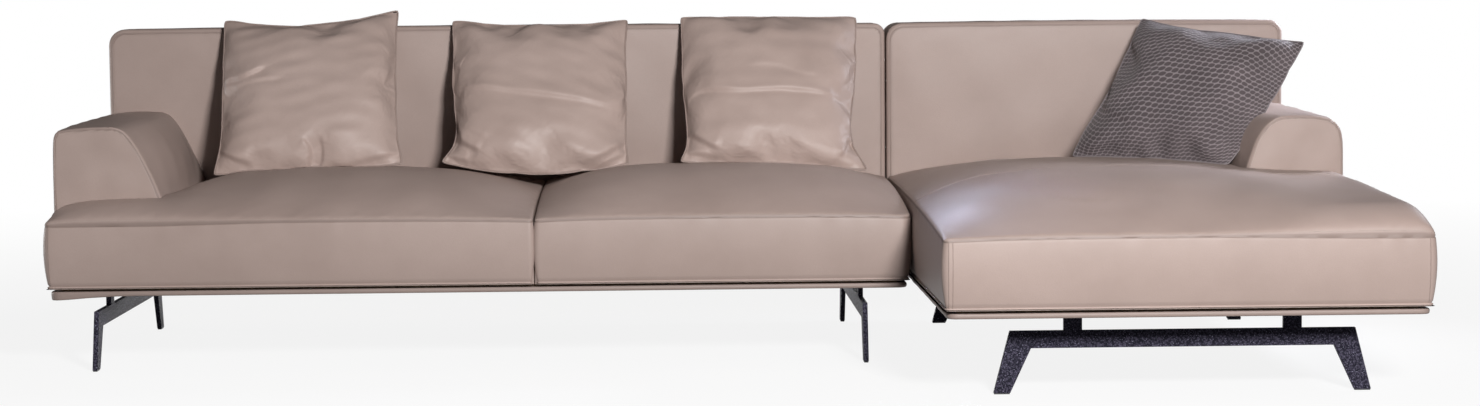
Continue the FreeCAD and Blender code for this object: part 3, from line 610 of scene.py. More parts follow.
# Height over the plan: a side seam that climbs to the rear, a crest over it, inner sides that stay full,
# and an outer side that swells out of its seam first and climbs to the crest further in.
def seatHeight(x, y, box, form, armSide):
    looks = seatLooks
    x0, x1, y0, y1 = box
    share = climb(y - y0, y1 - y0)
    side = looks["sideRise"] * (1 - (1 - share) ** 2)
    first, last = form["peak"]
    front = 1 - np.abs(1 - np.minimum(share, first) / first) ** looks["frontPower"]
    rear = form["drop"] * (np.maximum(share - last, 0) / (1 - last)) ** looks["rearPower"]
    crest = looks["arch"] + form["crown"] * (front - rear)
    left, right = (1 - (1 - climb(away, (x1 - x0) / 2)) ** looks["power"] for away in (x - x0, x1 - x))
    if not armSide:
        return looks["seam"] + side + (crest - side) * left * right
    away, inner = (x - x0, right) if armSide < 0 else (x1 - x, left)
    amount, scale = form["edge"]
    fade = np.sqrt(np.maximum(1 - (1 - np.minimum((y - y0) / looks["edgeFade"], 1)) ** 2, 0))
    lift = amount * (1 - np.exp(-away / scale)) * fade
    ramp = easeStep(away, *form["ramp"])
    if armSide < 0:
        beside = easeStep(y, *besideArm["span"])
        fall = besideArm["fall"] * climb(y - besideArm["from"], besideArm["length"])
        lift = lift * (1 - beside) + (besideArm["height"] - fall - looks["seam"] - side) * beside
        inward = 1 - np.exp(-np.maximum(away - armWidth, 0) / besideArm["climb"])
        ramp = ramp * (1 - beside) + beside * inward
    return looks["seam"] + side + lift * (1 - ramp) + (crest - side) * ramp * inner


def makeSeat(name, arm=None, armSide=0):
    looks, form = seatLooks, seatForms[name]
    roll, sink, seed = looks["roll"], looks["sink"], form["seed"]
    low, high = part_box(name + "_cover")
    freeLeft, freeRight = form["free"]
    x0 = low.x + looks["inset"] * freeLeft * (looks["besideArmInset"] if armSide < 0 else 1)
    x1, y0, y1 = high.x - looks["inset"] * freeRight, low.y + looks["inset"], high.y
    box = (x0, x1, y0, y1)
    xLines, yLines = spreadLines(x0, x1, looks["pitch"]), spreadLines(y0, y1, looks["pitch"])
    if armSide:
        notchX, notchY = armSide * (sofaEdge - armWidth), arm[0].y - looks["notchGap"]
        rows = -np.array(looks["notchRows"])
        yLines = moreLines(yLines, notchY, rows, looks["notchClear"])
        xLines = moreLines(xLines, notchX, armSide * rows, looks["notchClear"])
    if name == "chaise_seat":
        yLines = moreLines(yLines, crossSeam["place"], np.array(crossSeam["rows"]), crossSeam["clear"])
    nu, nv = len(xLines) - 1, len(yLines) - 1
    keep = np.ones((nu, nv), bool)
    corners = [(0, 0), (nu, 0), (nu, nv), (0, nv)]
    if armSide:
        a, b = int(np.argmin(np.abs(xLines - notchX))), int(np.argmin(np.abs(yLines - notchY)))
        keep[slice(0, a) if armSide < 0 else slice(a, nu), b:] = False
        corners = (corners[:3] + [(a, nv), (a, b), (0, b)] if armSide < 0 else
                   corners[:2] + [(nu, b), (a, b), (a, nv)] + corners[3:])
    nodes, loop, faces, upper = blockTopology(keep, corners, len(wallShares) - 2)

    # the cover over places of the grid's plan, with how far each is from the nearest edge
    def surface(x, y):
        toSide, toEnd = np.minimum(x - x0, x1 - x), np.minimum(y - y0, y1 - y)
        edge = np.maximum(np.minimum(toSide, toEnd), 0)
        lift = rollLift(toSide, roll) * rollLift(toEnd, roll) / roll
        z = seatHeight(x, y, box, form, armSide) - roll
        if armSide:
            away = np.maximum(np.maximum((x - notchX) * -armSide, notchY - y), 0)
            lift = lift * rollLift(away, roll / 2) / (roll / 2)
            edge = np.minimum(edge, away)
            shift = armSwell(y, arm) * -armSide * (y > notchY)
            x = x + shift * np.clip(1 - np.abs(x - notchX) / looks["pull"], 0, 1)
        x, y = roundCorners(x, y, box, form["radii"])
        flat = np.stack([x, y], -1)
        reach, start = looks["puckerReach"]
        z = z + lift + ripple(flat, looks["waves"], seed) * climb(edge, looks["waveEdge"])
        z = z + ripple(flat, looks["puckers"], seed + 7) * np.exp(-edge / reach) * climb(edge, start)
        if name == "chaise_seat":
            z = z - crossSeam["depth"] * bell(y - crossSeam["place"], crossSeam["width"]) * climb(edge, 0.02)
        return np.stack([x, y, z], -1), edge

    i, j = np.nonzero(nodes)
    top, edge = surface(xLines[i], yLines[j])
    rim = top[upper]
    outward = outwardOf(rim[:, :2])
    outX, outY = outward.T
    lean = 0.3
    free = (outY < -lean) | ((outX < -lean) & freeLeft) | ((outX > lean) & freeRight)
    free = free & (rim[:, 1] < y1 - 0.02)
    if armSide:
        free = free & ~((rim[:, 1] > notchY - 0.004) & (rim[:, 0] * armSide > 1.25))
    t = wallShares[1:-1, None]
    atSeam = t * looks["wallHeight"]
    soft = ripple(rim, looks["wallWaves"], seed + 3) * np.exp(-t / looks["wallWaveReach"])
    push = (looks["bulge"][0] * t + looks["bulge"][1] * t * t + soft) * free
    push = push - sink * bell(atSeam, looks["sinkWidth"])
    hem = bell(t - looks["hemPlace"], looks["hemWidth"]) * free
    foot = np.column_stack([top[:, :2], np.full(len(top), looks["bottom"])])
    foot[upper, :2] += outward * (sum(looks["bulge"]) * free)[:, None]
    wall = np.concatenate([rim[None, :, :2] + outward[None] * (push - hem * looks["hemDepth"])[..., None],
                           (rim[None, :, 2] * (1 - t) + looks["bottom"] * t)[..., None]], -1)
    sunk = top.copy()
    sunk[upper, :2] -= outward * sink
    # painted shade: the seamShade mask darkens the top along its seams and the cross seam, and the wall
    # under the seam and at the hem
    groove = 0.6 * bell(edge, looks["groove"])
    if name == "chaise_seat":
        across = 0.8 * bell(top[:, 1] - crossSeam["place"], crossSeam["groove"])
        groove = np.maximum(groove, across * (edge > 0.002))
    wallSeamShade = 0.6 * bell(atSeam, looks["groove"]) + hem * 0.4
    piece = dressCover(name, np.concatenate([sunk, foot, wall.reshape(-1, 3)]), faces,
                       np.concatenate([groove, np.zeros(len(foot)), wallSeamShade.ravel()]))
    return {"rim": rim, "outward": outward, "free": free, "surface": surface, "box": box, "wall": wall,
            "grid": np.column_stack([xLines[loop[:, 0]], yLines[loop[:, 1]]])}


leftArm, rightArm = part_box("left_arm_cover"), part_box("right_arm_cover")
seats = {
    "sofa_left_seat": makeSeat("sofa_left_seat", leftArm, -1),
    "sofa_right_seat": makeSeat("sofa_right_seat"),
    "chaise_seat": makeSeat("chaise_seat", rightArm, 1),
}
print("seats made")

# Arms

# outer and inner sides as places in from the outer edge and up from the floor
armLooks = {
    "leftOuter": [(0, 0.203), (0, 0.34), (0, 0.48), (0.0015, 0.548), (0.006, 0.57), (0.015, 0.58)],
    "rightOuter": [(0, 0.203), (0, 0.34), (0, 0.46), (0.002, 0.53), (0.012, 0.563), (0.036, 0.583)],
    "leftInner": [(0.268, 0.203), (0.268, 0.33), (0.265, 0.4), (0.256, 0.432), (0.243, 0.464),
                  (0.221, 0.51), (0.199, 0.549), (0.176, 0.577), (0.153, 0.587), (0.134, 0.588)],
    "rightInner": [(0.262, 0.203), (0.262, 0.33), (0.256, 0.4), (0.247, 0.44), (0.234, 0.487),
                   (0.215, 0.535), (0.191, 0.569), (0.162, 0.586), (0.13, 0.59)],
    "outerX": (-1.5885, 1.580), "lineFoot": (0.385, 0.405), "rows": 74, "columns": 30,
    "columnSteps": (0, 0.004, 0.01, 0.018, 0.028, 0.042, 0.06), "roll": 0.008, "width": 0.256,
    "bulgeSpan": (0.41, 0.54), "rise": 0.013, "riseFrom": 0.36, "riseOver": 0.2, "topCrown": 0.003,
    "topCrownPower": 6, "puff": 0.006, "puffReach": 0.09, "panelWaves": (0.0009, 0.12),
    "waves": (0.0013, 0.16), "puckers": (0.0007, 0.03),
    "pipingEdge": 0.0052, "stitchEdge": 0.0095, "groove": 0.0075, "grooveWidth": 0.0012,
}
armShares = np.concatenate([[0.0, 0.004, 0.01, 0.02, 0.035], np.linspace(0.06, 0.94, 40),
                            [0.97, 0.985, 0.995, 1.0]])


def makeArm(name, box, side, seed):
    looks = armLooks
    roll, rows = looks["roll"], looks["rows"]
    word, outerX = ("left", looks["outerX"][0]) if side < 0 else ("right", looks["outerX"][1])
    front, rear = box[0].y, box[1].y
    outer, inner = (evenPath(smoothCurve(looks[word + key]), rows) for key in ("Outer", "Inner"))
    across = spreadLines(0, 1, 1.0 / looks["columns"], looks["columnSteps"])
    nodes, loop, faces, upper = fullBlock(len(across) - 1, rows - 1, len(armShares) - 2)
    i, j = np.nonzero(nodes)
    flat = outer[j] * (1 - across[i])[:, None] + inner[j] * across[i][:, None]
    flat[:, 1] += looks["topCrown"] * swell(across[i], 2) * (j / (rows - 1)) ** looks["topCrownPower"]
    rim = flat[upper]
    edge = nearest(flat, rim[rim[:, 1] > 0.21])

    # a point of the outline carried back along the arm: wider in the middle and rising to the rear
    def carry(outline, share):
        bulge = armBulge[0] + (armBulge[1] - armBulge[0]) * easeStep(outline[:, 1], *looks["bulgeSpan"])
        width = looks["width"]
        x = outline[:, 0] * (1 + bulge / width * swell(share, 2) * climb(outline[:, 0], width))
        rise = looks["rise"] * (1 - (1 - share) ** 2)
        return x, outline[:, 1] + rise * climb(outline[:, 1] - looks["riseFrom"], looks["riseOver"])

    # how far forward the front panel stands at a distance from its outline
    def panel(outline, distance):
        height = swell(climb(outline[:, 1] - 0.2, 0.4), 2)
        puff = looks["puff"] * climb(distance, looks["puffReach"]) ** 0.6 * height
        waves = ripple(outline, looks["panelWaves"], seed) * climb(distance, 0.04)
        return front + roll - rollLift(distance, roll) - puff + waves

    x, z = carry(flat, 0.0)
    frontFace = np.stack([x, panel(flat, edge), z], -1)
    x, z = carry(flat, 1.0)
    rearFace = np.stack([x, np.full(len(x), rear), z], -1)
    share = armShares[1:-1, None]
    x, z = carry(rim, share)
    walls = np.stack([x, front + roll + (rear - front - roll) * share + np.zeros(len(rim)), z], -1)
    outward = outwardOf(rim)
    soft = ripple(walls, looks["waves"], seed + 2)
    soft = soft + ripple(walls, looks["puckers"], seed + 5) * np.exp(-share / 0.05)
    walls += np.insert(outward, 1, 0, 1)[None] * (soft * climb(share, 0.05) * (rim[:, 1] > 0.25))[..., None]
    points = np.concatenate([frontFace, rearFace, walls.reshape(-1, 3)])
    points[:, 0] = outerX - side * points[:, 0]
    faces = faces[:, ::-1] if side > 0 else faces
    # painted shade along a line just inside the front panel's edge
    seamShade = 0.55 * bell(edge - looks["groove"], looks["grooveWidth"])
    seamShade = np.concatenate([seamShade, np.zeros(len(rearFace) + walls.size // 3)])
    piece = dressCover(name, points, faces, seamShade)

    # the front seam over the arm, and a second line inside it: paths on the front panel from seat to side
    lines = []
    for inside in (looks["pipingEdge"], looks["stitchEdge"]):
        path = rim - outward * inside
        y = panel(path, np.full(len(path), inside))
        line = np.stack([outerX - side * path[:, 0], y, path[:, 1]], -1)
        line, = runOf(rim[:, 1] > looks["lineFoot"][int(side > 0)], line)
        lines.append(evenPath(smoothCurve(line[::4], 4), 220))
    return lines


armLines = [makeArm("left_arm", leftArm, -1, 51), makeArm("right_arm", rightArm, 1, 61)]
print("arms made")

# Backs

backLooks = {
    "roll": 0.012, "puff": 0.011, "puffFrom": 0.40, "pitch": 0.013, "topRise": 0.003, "frontGap": 0.008,
    "pipingEdge": 0.012, "pipingSpread": 0.0022, "pipingOut": 0.0002, "foot": 0.02, "waves": (0.0018, 0.24),
    "puckers": (0.0009, 0.034), "bandWaves": (0.0006, 0.12), "dent": 0.002, "dentWidth": 0.02,
    "corners": {"sofa_back": (0.030, 0.045), "chaise_back": (0.035, 0.045)},
}
backShares = np.array([0.0, 0.01, 0.03, 0.06, 0.12, 0.2, 0.35, 0.5, 0.65, 0.8, 0.88, 0.94, 0.97, 0.99, 1.0])


# two rounded faces, the front one puffed, with a band round them; gives back the piping's two paths
def makeBack(name, seed):
    looks = backLooks
    roll = looks["roll"]
    low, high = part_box(name + "_cover")
    x0, x1, z0, z1 = low.x, high.x, low.z, high.z - looks["topRise"]
    front, rear = low.y + looks["frontGap"], high.y
    xLines, zLines = spreadLines(x0, x1, looks["pitch"]), spreadLines(z0, z1, looks["pitch"])
    nodes, loop, faces, upper = fullBlock(len(xLines) - 1, len(zLines) - 1, len(backShares) - 2)
    i, j = np.nonzero(nodes)
    x, z = roundCorners(xLines[i], zLines[j], (x0, x1, z0, z1), (0, 0) + looks["corners"][name])
    across = (x - x0) / (x1 - x0)
    z = z + looks["topRise"] * swell(across, 2) * (z - z0) / (z1 - z0)
    flat = np.stack([x, z], -1)
    rim = flat[upper]
    edge = nearest(flat, rim[rim[:, 1] > z0 + 0.001])
    height = (z - looks["puffFrom"]) / (z1 - looks["puffFrom"])
    bulge = looks["puff"] * swell(climb(across, 1), 6) * swell(climb(height, 1), 2.2) * (height > 0)
    puckers = ripple(flat, looks["puckers"], seed + 4) * np.exp(-edge / 0.03)
    waves = ripple(flat, looks["waves"], seed) * climb(edge, 0.06)
    waves = waves + puckers * climb(edge - looks["pipingEdge"], 0.01)
    face = np.stack([x, front + roll - rollLift(edge, roll) - bulge + waves, z], -1)
    rearFace = np.stack([x, rear - roll + rollLift(edge, roll), z], -1)
    outward = outwardOf(rim)
    t = backShares[1:-1, None]
    depth = front + roll + (rear - front - 2 * roll) * t
    band = np.stack(np.broadcast_arrays(rim[:, 0], depth, rim[:, 1]), -1)
    dent = ripple(band, looks["bandWaves"], seed + 9)
    dent = dent - looks["dent"] * (bell(t, looks["dentWidth"]) + bell(1 - t, looks["dentWidth"]))
    free = rim[:, 1] > z0 + looks["foot"]
    band = band + np.insert(outward, 1, 0, 1)[None] * (dent * free)[..., None]
    # painted shade along the piping line, the same on the front and rear faces
    line = 0.7 * bell(edge - looks["pipingEdge"], looks["pipingSpread"])
    piece = dressCover(name, np.concatenate([face, rearFace, band.reshape(-1, 3)]), faces,
                       np.concatenate([line, line, np.zeros(band.size // 3)]))
    path, = runOf(free, rim - outward * looks["pipingEdge"])
    faces = (front - looks["pipingOut"], rear + looks["pipingOut"])
    return [evenPath(np.insert(path, 1, y, 1), 420) for y in faces]


backLines = [makeBack("sofa_back", 71), makeBack("chaise_back", 83)]
print("backs made")

# Plinths

plinthLooks = {"bottom": 0.185, "top": 0.1968, "corner": 0.022, "roll": 0.0035, "grow": 0.0008, "rim": 0.04,
               "steps": 700, "waves": (0.0004, 0.11), "droop": 0.009, "droopReach": (0.10, 0.12)}


# a thin padded board: its rounded outline carried round an edge profile, closed by a fan above and below
def makePlinth(name, box, seed):
    looks = plinthLooks
    low, high = box
    grow, radius, bottom, top = looks["grow"], looks["corner"], looks["bottom"], looks["top"]
    x0, x1, y0, y1 = low.x - grow, high.x + grow, low.y - grow, high.y + grow
    outline = []
    for cx, cy, start in ((x0 + radius, y0 + radius, 180), (x1 - radius, y0 + radius, 270),
                          (x1 - radius, y1 - radius, 0), (x0 + radius, y1 - radius, 90)):
        angle = np.radians(np.linspace(start, start + 90, 10))
        outline.append(np.stack([cx + radius * np.cos(angle), cy + radius * np.sin(angle)], -1))
    outline = evenPath(np.vstack([*outline, outline[0][:1]]), looks["steps"])[:-1]
    turn = np.radians(np.linspace(-90, 90, 13))
    middle = (bottom + top) / 2
    rounding = [looks["roll"] * np.cos(turn) - looks["roll"], middle + (top - bottom) / 2 * np.sin(turn)]
    offsets = np.vstack([[-looks["rim"], bottom], np.stack(rounding, -1), [-looks["rim"], top]])
    push = offsets[:, :1] + ripple(outline, looks["waves"], seed)[None]
    reachX, reachY = looks["droopReach"]
    droop = looks["droop"] * bell(outline[:, 0] - x0, reachX) * bell(outline[:, 1] - y0, reachY)
    droop = droop * (name == "sofa")
    heights = offsets[:, 1:] - droop[None] * easeStep(-offsets[:, 1:], -middle, -bottom)
    plan = outline[None] + outwardOf(outline)[None] * push[..., None]
    rings = np.concatenate([plan, heights[..., None]], -1)
    centre = [(x0 + x1) / 2, (y0 + y1) / 2]
    points = np.vstack([rings.reshape(-1, 3), centre + [bottom], centre + [top]])
    stands = (name + "_plinth_wrap", name + "_base_board")
    piece = dress(name + "_plinth", points, ringFaces(*rings.shape[:2]), "sofa", "taupe_leather",
                  shadedPlinthLeather, stands, {"seamShade": np.zeros(len(points))})


for moduleName in ("sofa", "chaise"):
    makePlinth(moduleName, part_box(moduleName + "_plinth_wrap"), 91)
print("plinths made")

# Piping, seams, stitches and hems

uprightSeams = {"sofa_left_seat": (-1.5765,), "chaise_seat": (0.5165, 0.5245, 1.5725)}
trimLooks = {"piping": 0.0017, "armPiping": 0.0014, "upright": 0.0009, "hem": 0.0021, "hemHeight": 0.2070,
             "hemOut": 0.0006, "hemStep": 0.006, "stitchInset": 0.0024, "besideCross": 0.0052}


def makeTrims():
    looks = trimLooks
    upward, forward = np.array([0, 0, 1.0]), np.array([0, -1.0, 0])
    hems, stitches, piping = [], [], []
    for seat in seats.values():
        wall = seat["wall"]
        foot = wall[int(np.argmin(np.abs(wall[:, 0, 2] - looks["hemHeight"])))]
        foot, outward, grid = runOf(seat["free"], foot, seat["outward"], seat["grid"])
        foot = foot[:, :2] + outward * looks["hemOut"]
        path = np.column_stack([foot, np.full(len(foot), looks["hemHeight"])])
        path = evenPath(path, max(40, int(pathLength(path)[-1] / looks["hemStep"])))
        hems.append(sweepProfile(path, circle(looks["hem"]), upward))
        x0, x1, y0, y1 = seat["box"]
        inset = looks["stitchInset"]
        inward = np.clip(grid, (x0 + inset, y0 + inset), (x1 - inset, y1 - inset))
        line = evenPath(seat["surface"](inward[:, 0], inward[:, 1])[0], len(inward) * 3)
        out = np.column_stack([outwardOf(line), np.full(len(line), 0.5)])
        out[0], out[-1] = out[1], out[-2]
        stitches.append(stitchRow(line + unit(out) * 0.0001, unit(out)))
    for name, places in uprightSeams.items():
        rim, outward, wall = (seats[name][key] for key in ("rim", "outward", "wall"))
        front = outward[:, 1] < -0.5
        for place in places:
            column = int(np.argmin(np.abs(rim[:, 0] - place) + 9.0 * ~front))
            path = wall[:, column] + np.append(outward[column], 0) * 0.0002
            piping.append(sweepProfile(evenPath(path[::-1], 40), circle(looks["upright"], 6), forward))
    for pipingLine, stitchLine in armLines:
        piping.append(sweepProfile(pipingLine, circle(looks["armPiping"]), forward))
        stitches.append(stitchRow(stitchLine, np.tile(forward, (len(stitchLine), 1))))
    for lines in backLines:
        for line, way in zip(lines, (forward, -forward)):
            piping.append(sweepProfile(line, circle(looks["piping"]), way))
    chaise = seats["chaise_seat"]
    xs = np.linspace(chaise["box"][0] + 0.012, chaise["box"][1] - 0.014, 500)
    for offset in (-looks["besideCross"], looks["besideCross"]):
        line = chaise["surface"](xs, np.full(len(xs), crossSeam["place"] + offset))[0]
        stitches.append(stitchRow(line, np.tile(upward, (len(xs), 1))))
    for kind, parts, material in (("hem", hems, highlitHemLeather), ("piping", piping, shadedPipingLeather),
                                  ("stitching", stitches, thread)):
        piece = dress("seat_and_arm_" + kind, *join(parts), "sofa", "taupe_leather", material)
        if kind != "stitching":
            piece.data.attributes.new("seamShade", "FLOAT", "POINT")


makeTrims()
print("piping, hems and stitches made")

# Cushions

cushionLooks = {
    "grid": 56, "finer": 3, "start": 0.243, "gap": 0.0005, "lens": 0.006, "jitter": 0.0006,
    "pressure": 5.0, "frames": 22, "mass": 0.22, "tension": 22.0, "shear": 6.0, "bending": 6.0, "quality": 6,
    "calm": 14, "puckers": 0.26, "waves": (0.0011, 0.09), "welt": 0.0019, "backPlane": 0.6295,
    "aboveSeat": 0.0012, "hemEdge": 0.003,
}
# Turn, lean and roll in degrees, thickness in metres. The outline runs clockwise from the upper left
# corner, four points a side, in millimetres to the right and up. A fold is its depth and width in
# millimetres and its path in thousandths of the cushion, to the right and down.
cushionForms = {
    "left_leather_cushion": {
        "pose": (0, 35, 2.5), "thick": 0.143, "seed": 5,
        "outline": [(-228, 232), (-120, 212), (-32, 205), (100, 214), (231, 240), (225, 146), (224, 3),
                    (226, -137), (239, -242), (140, -246), (28, -249), (-110, -252), (-243, -249),
                    (-228, -143), (-228, 28), (-228, 139)],
        "folds": [(6.8, 10, (0, 420), (120, 425), (240, 420), (340, 400)),
                  (4.0, 11, (120, 460), (240, 455), (400, 470)),
                  (-6.2, 11, (470, 760), (500, 860), (490, 990)),
                  (3.5, 9, (550, 780), (570, 900), (560, 1000)), (6.2, 10, (0, 860), (100, 870), (220, 920)),
                  (6.2, 10, (720, 990), (840, 930), (1000, 930)), (3.0, 11, (880, 340), (1000, 300)),
                  (3.0, 11, (870, 520), (1000, 540))],
    },
    "middle_leather_cushion": {
        "pose": (0, 35, -0.5), "thick": 0.143, "seed": 8,
        "outline": [(-232, 226), (-110, 211), (11, 210), (120, 214), (233, 227), (229, 120), (232, 21),
                    (232, -144), (238, -224), (130, -246), (21, -255), (-120, -246), (-243, -219),
                    (-210, -143), (-224, 22), (-226, 120)],
        "folds": [(5.6, 14, (40, 500), (300, 515), (500, 540), (750, 585), (1000, 630)),
                  (8.5, 11, (0, 860), (100, 820), (220, 840)), (6.0, 9, (0, 950), (140, 930)),
                  (8.5, 11, (740, 910), (880, 860), (1000, 860)),
                  (5.5, 9, (800, 970), (920, 920), (1000, 930)), (3.2, 12, (0, 330), (110, 370)),
                  (2.2, 16, (100, 720), (300, 760))],
    },
    "right_leather_cushion": {
        "pose": (0, 35, -1.5), "thick": 0.143, "seed": 12,
        "outline": [(-240, 226), (-120, 229), (-1, 233), (110, 233), (229, 236), (226, 130), (223, 34),
                    (209, -140), (249, -245), (120, -234), (-3, -230), (-120, -229), (-234, -227),
                    (-218, -155), (-232, 11), (-235, 120)],
        "folds": [(6.0, 13, (0, 630), (140, 575), (360, 550), (650, 550), (930, 575)),
                  (8.5, 11, (0, 830), (100, 820), (220, 870)), (5.5, 9, (0, 940), (120, 920), (200, 950)),
                  (8.5, 11, (840, 900), (920, 830), (1000, 800)), (3.2, 12, (900, 360), (1000, 330)),
                  (2.2, 16, (400, 440), (700, 460))],
    },
    "woven_cushion": {
        "pose": (38, 43, -5), "thick": 0.133, "seed": 17,
        "outline": [(-229, 208), (-100, 187), (32, 180), (160, 172), (270, 167), (267, 90), (265, 10),
                    (254, -129), (230, -254), (130, -258), (20, -262), (-100, -268), (-213, -272),
                    (-217, -183), (-208, -64), (-218, 69)],
        "folds": [(5.0, 18, (30, 620), (200, 660), (360, 740))],
    },
}


# two flat square sheets that share their edges, a hair apart and slightly domed
def sheetMesh(side):
    half = cushionLooks["start"]
    nodes, loop, faces, upper = fullBlock(side, side, 0)
    i, j = np.nonzero(nodes)
    x, z = (i / side - 0.5) * 2 * half, (j / side - 0.5) * 2 * half
    lens = cushionLooks["gap"] + cushionLooks["lens"] * swell(i / side, 2) * swell(j / side, 2)
    sheet = np.stack([x, -lens, z], -1)
    return np.concatenate([sheet, sheet * (1, -1, 1)]), faces


# the sheets are blown up by pressure alone, and the shape they reach is read back
def inflate(names):
    looks = cushionLooks
    scene = bpy.context.scene
    pads = {}
    for name in names:
        points, faces = sheetMesh(looks["grid"])
        rng = np.random.default_rng(cushionForms[name]["seed"])
        points = points + rng.normal(0, looks["jitter"], points.shape) * (0.3, 1, 0.3)
        mesh = bpy.data.meshes.new(name + "_start")
        mesh.from_pydata(points.tolist(), [], faces.tolist())
        pad = bpy.data.objects.new(name + "_start", mesh)
        scene.collection.objects.link(pad)
        cloth = pad.modifiers.new("cloth", "CLOTH")
        settings = cloth.settings
        settings.quality = looks["quality"]
        settings.mass = looks["mass"]
        settings.tension_stiffness = settings.compression_stiffness = looks["tension"]
        settings.shear_stiffness = looks["shear"]
        settings.bending_stiffness = looks["bending"]
        settings.use_pressure = True
        settings.uniform_pressure_force = looks["pressure"]
        settings.effector_weights.gravity = 0.0
        cloth.collision_settings.use_collision = False
        cloth.point_cache.frame_start, cloth.point_cache.frame_end = 1, looks["frames"]
        pads[name] = pad
    for frameNumber in range(1, looks["frames"] + 1):
        scene.frame_set(frameNumber)
    shapes = {}
    graph = bpy.context.evaluated_depsgraph_get()
    for name, pad in pads.items():
        blown = pad.evaluated_get(graph).to_mesh()
        flat = np.empty(len(blown.vertices) * 3)
        blown.vertices.foreach_get("co", flat)
        shapes[name] = flat.reshape(2, looks["grid"] + 1, looks["grid"] + 1, 3).copy()
        pad.evaluated_get(graph).to_mesh_clear()
        mesh = pad.data
        bpy.data.objects.remove(pad)
        bpy.data.meshes.remove(mesh)
    scene.frame_set(1)
    return shapes


# a change of rows of points, done along both directions of a grid
def bothWays(sheet, change):
    for _ in range(2):
        n, m = sheet.shape[:2]
        sheet = change(sheet.reshape(n, m * 3)).reshape(-1, m, 3).transpose(1, 0, 2)
    return sheet


# Coons patch: a field over the square from its values on the four sides, each given from low to high share
def coons(bottom, top, left, right, u, v):
    u, v = u[..., None], v[..., None]
    across = (1 - v) * bottom[:, None] + v * top[:, None]
    upward = (1 - u) * left[None] + u * right[None]
    atBottom = (1 - u) * (1 - v) * bottom[0] + u * (1 - v) * bottom[-1]
    return across + upward - (atBottom + (1 - u) * v * top[0] + u * v * top[-1])


# a row without its short waves: a running mean of what it has over the straight line between its ends
def lowPass(line, reach=9):
    kernel = np.hanning(2 * reach + 3)[1:-1]
    kernel /= kernel.sum()
    ends = np.linspace(0, 1, len(line))[:, None] * (line[-1] - line[0]) + line[0]
    rest = line - ends
    longer = np.vstack([-rest[reach:0:-1], rest, -rest[-2:-reach - 2:-1]])
    return ends + np.stack([np.convolve(longer[:, k], kernel, "valid") for k in range(line.shape[1])], -1)


def turnMatrix(turn, lean, roll):
    turned, leaned, rolled = (Matrix.Rotation(math.radians(-angle), 3, axis)
                              for angle, axis in ((turn, "Z"), (lean, "X"), (roll, "Y")))
    return turned @ leaned @ rolled


farAway = 9.0


# distance of grid points from a path on the cushion, which side of it they are on, and how far along it
def pathDistance(plane, path):
    best, side, along = (np.full(plane.shape[:2], value) for value in (farAway, 0.0, 0.0))
    for index, (start, end) in enumerate(zip(path[:-1], path[1:])):
        run, away = end - start, plane - start
        share = np.clip(away @ run / (run @ run), 0, 1)
        distance = np.linalg.norm(away - share[..., None] * run, axis=-1)
        closer = distance < best
        best = np.where(closer, distance, best)
        side = np.where(closer, run[0] * away[..., 1] - run[1] * away[..., 0], side)
        along = np.where(closer, (index + share) / (len(path) - 1), along)
    return best, np.sign(side), along


# highest seat surface under points of a plan
def seatTop(x, y):
    ground = np.zeros(len(x))
    for seat in seats.values():
        x0, x1, y0, y1 = seat["box"]
        on = (x > x0) & (x < x1) & (y > y0) & (y < y1)
        if on.any():
            ground[on] = seat["surface"](x[on], y[on])[0][:, 2]
    return ground


# how far forward a fold pushes the front sheet: the upper side laps over the lower one
def foldPush(plane, side, inner, depth, width, places):
    path = evenPath(smoothCurve([(a / 1000, 1 - b / 1000) for a, b in places], 14), 26)
    i, j = (np.clip((path[:, k] * side).round().astype(int), 0, side) for k in (0, 1))
    distance, upside, along = pathDistance(plane, evenPath(smoothCurve(plane[i, j][::5], 8), 36))
    fade = np.clip(1.6 * swell(along, 2) + 0.10, 0, 1) * inner * (distance < 9 * width)
    across = distance * upside / width
    return depth * np.tanh(2.4 * across) * np.exp(-np.abs(across) / 2.0) * fade


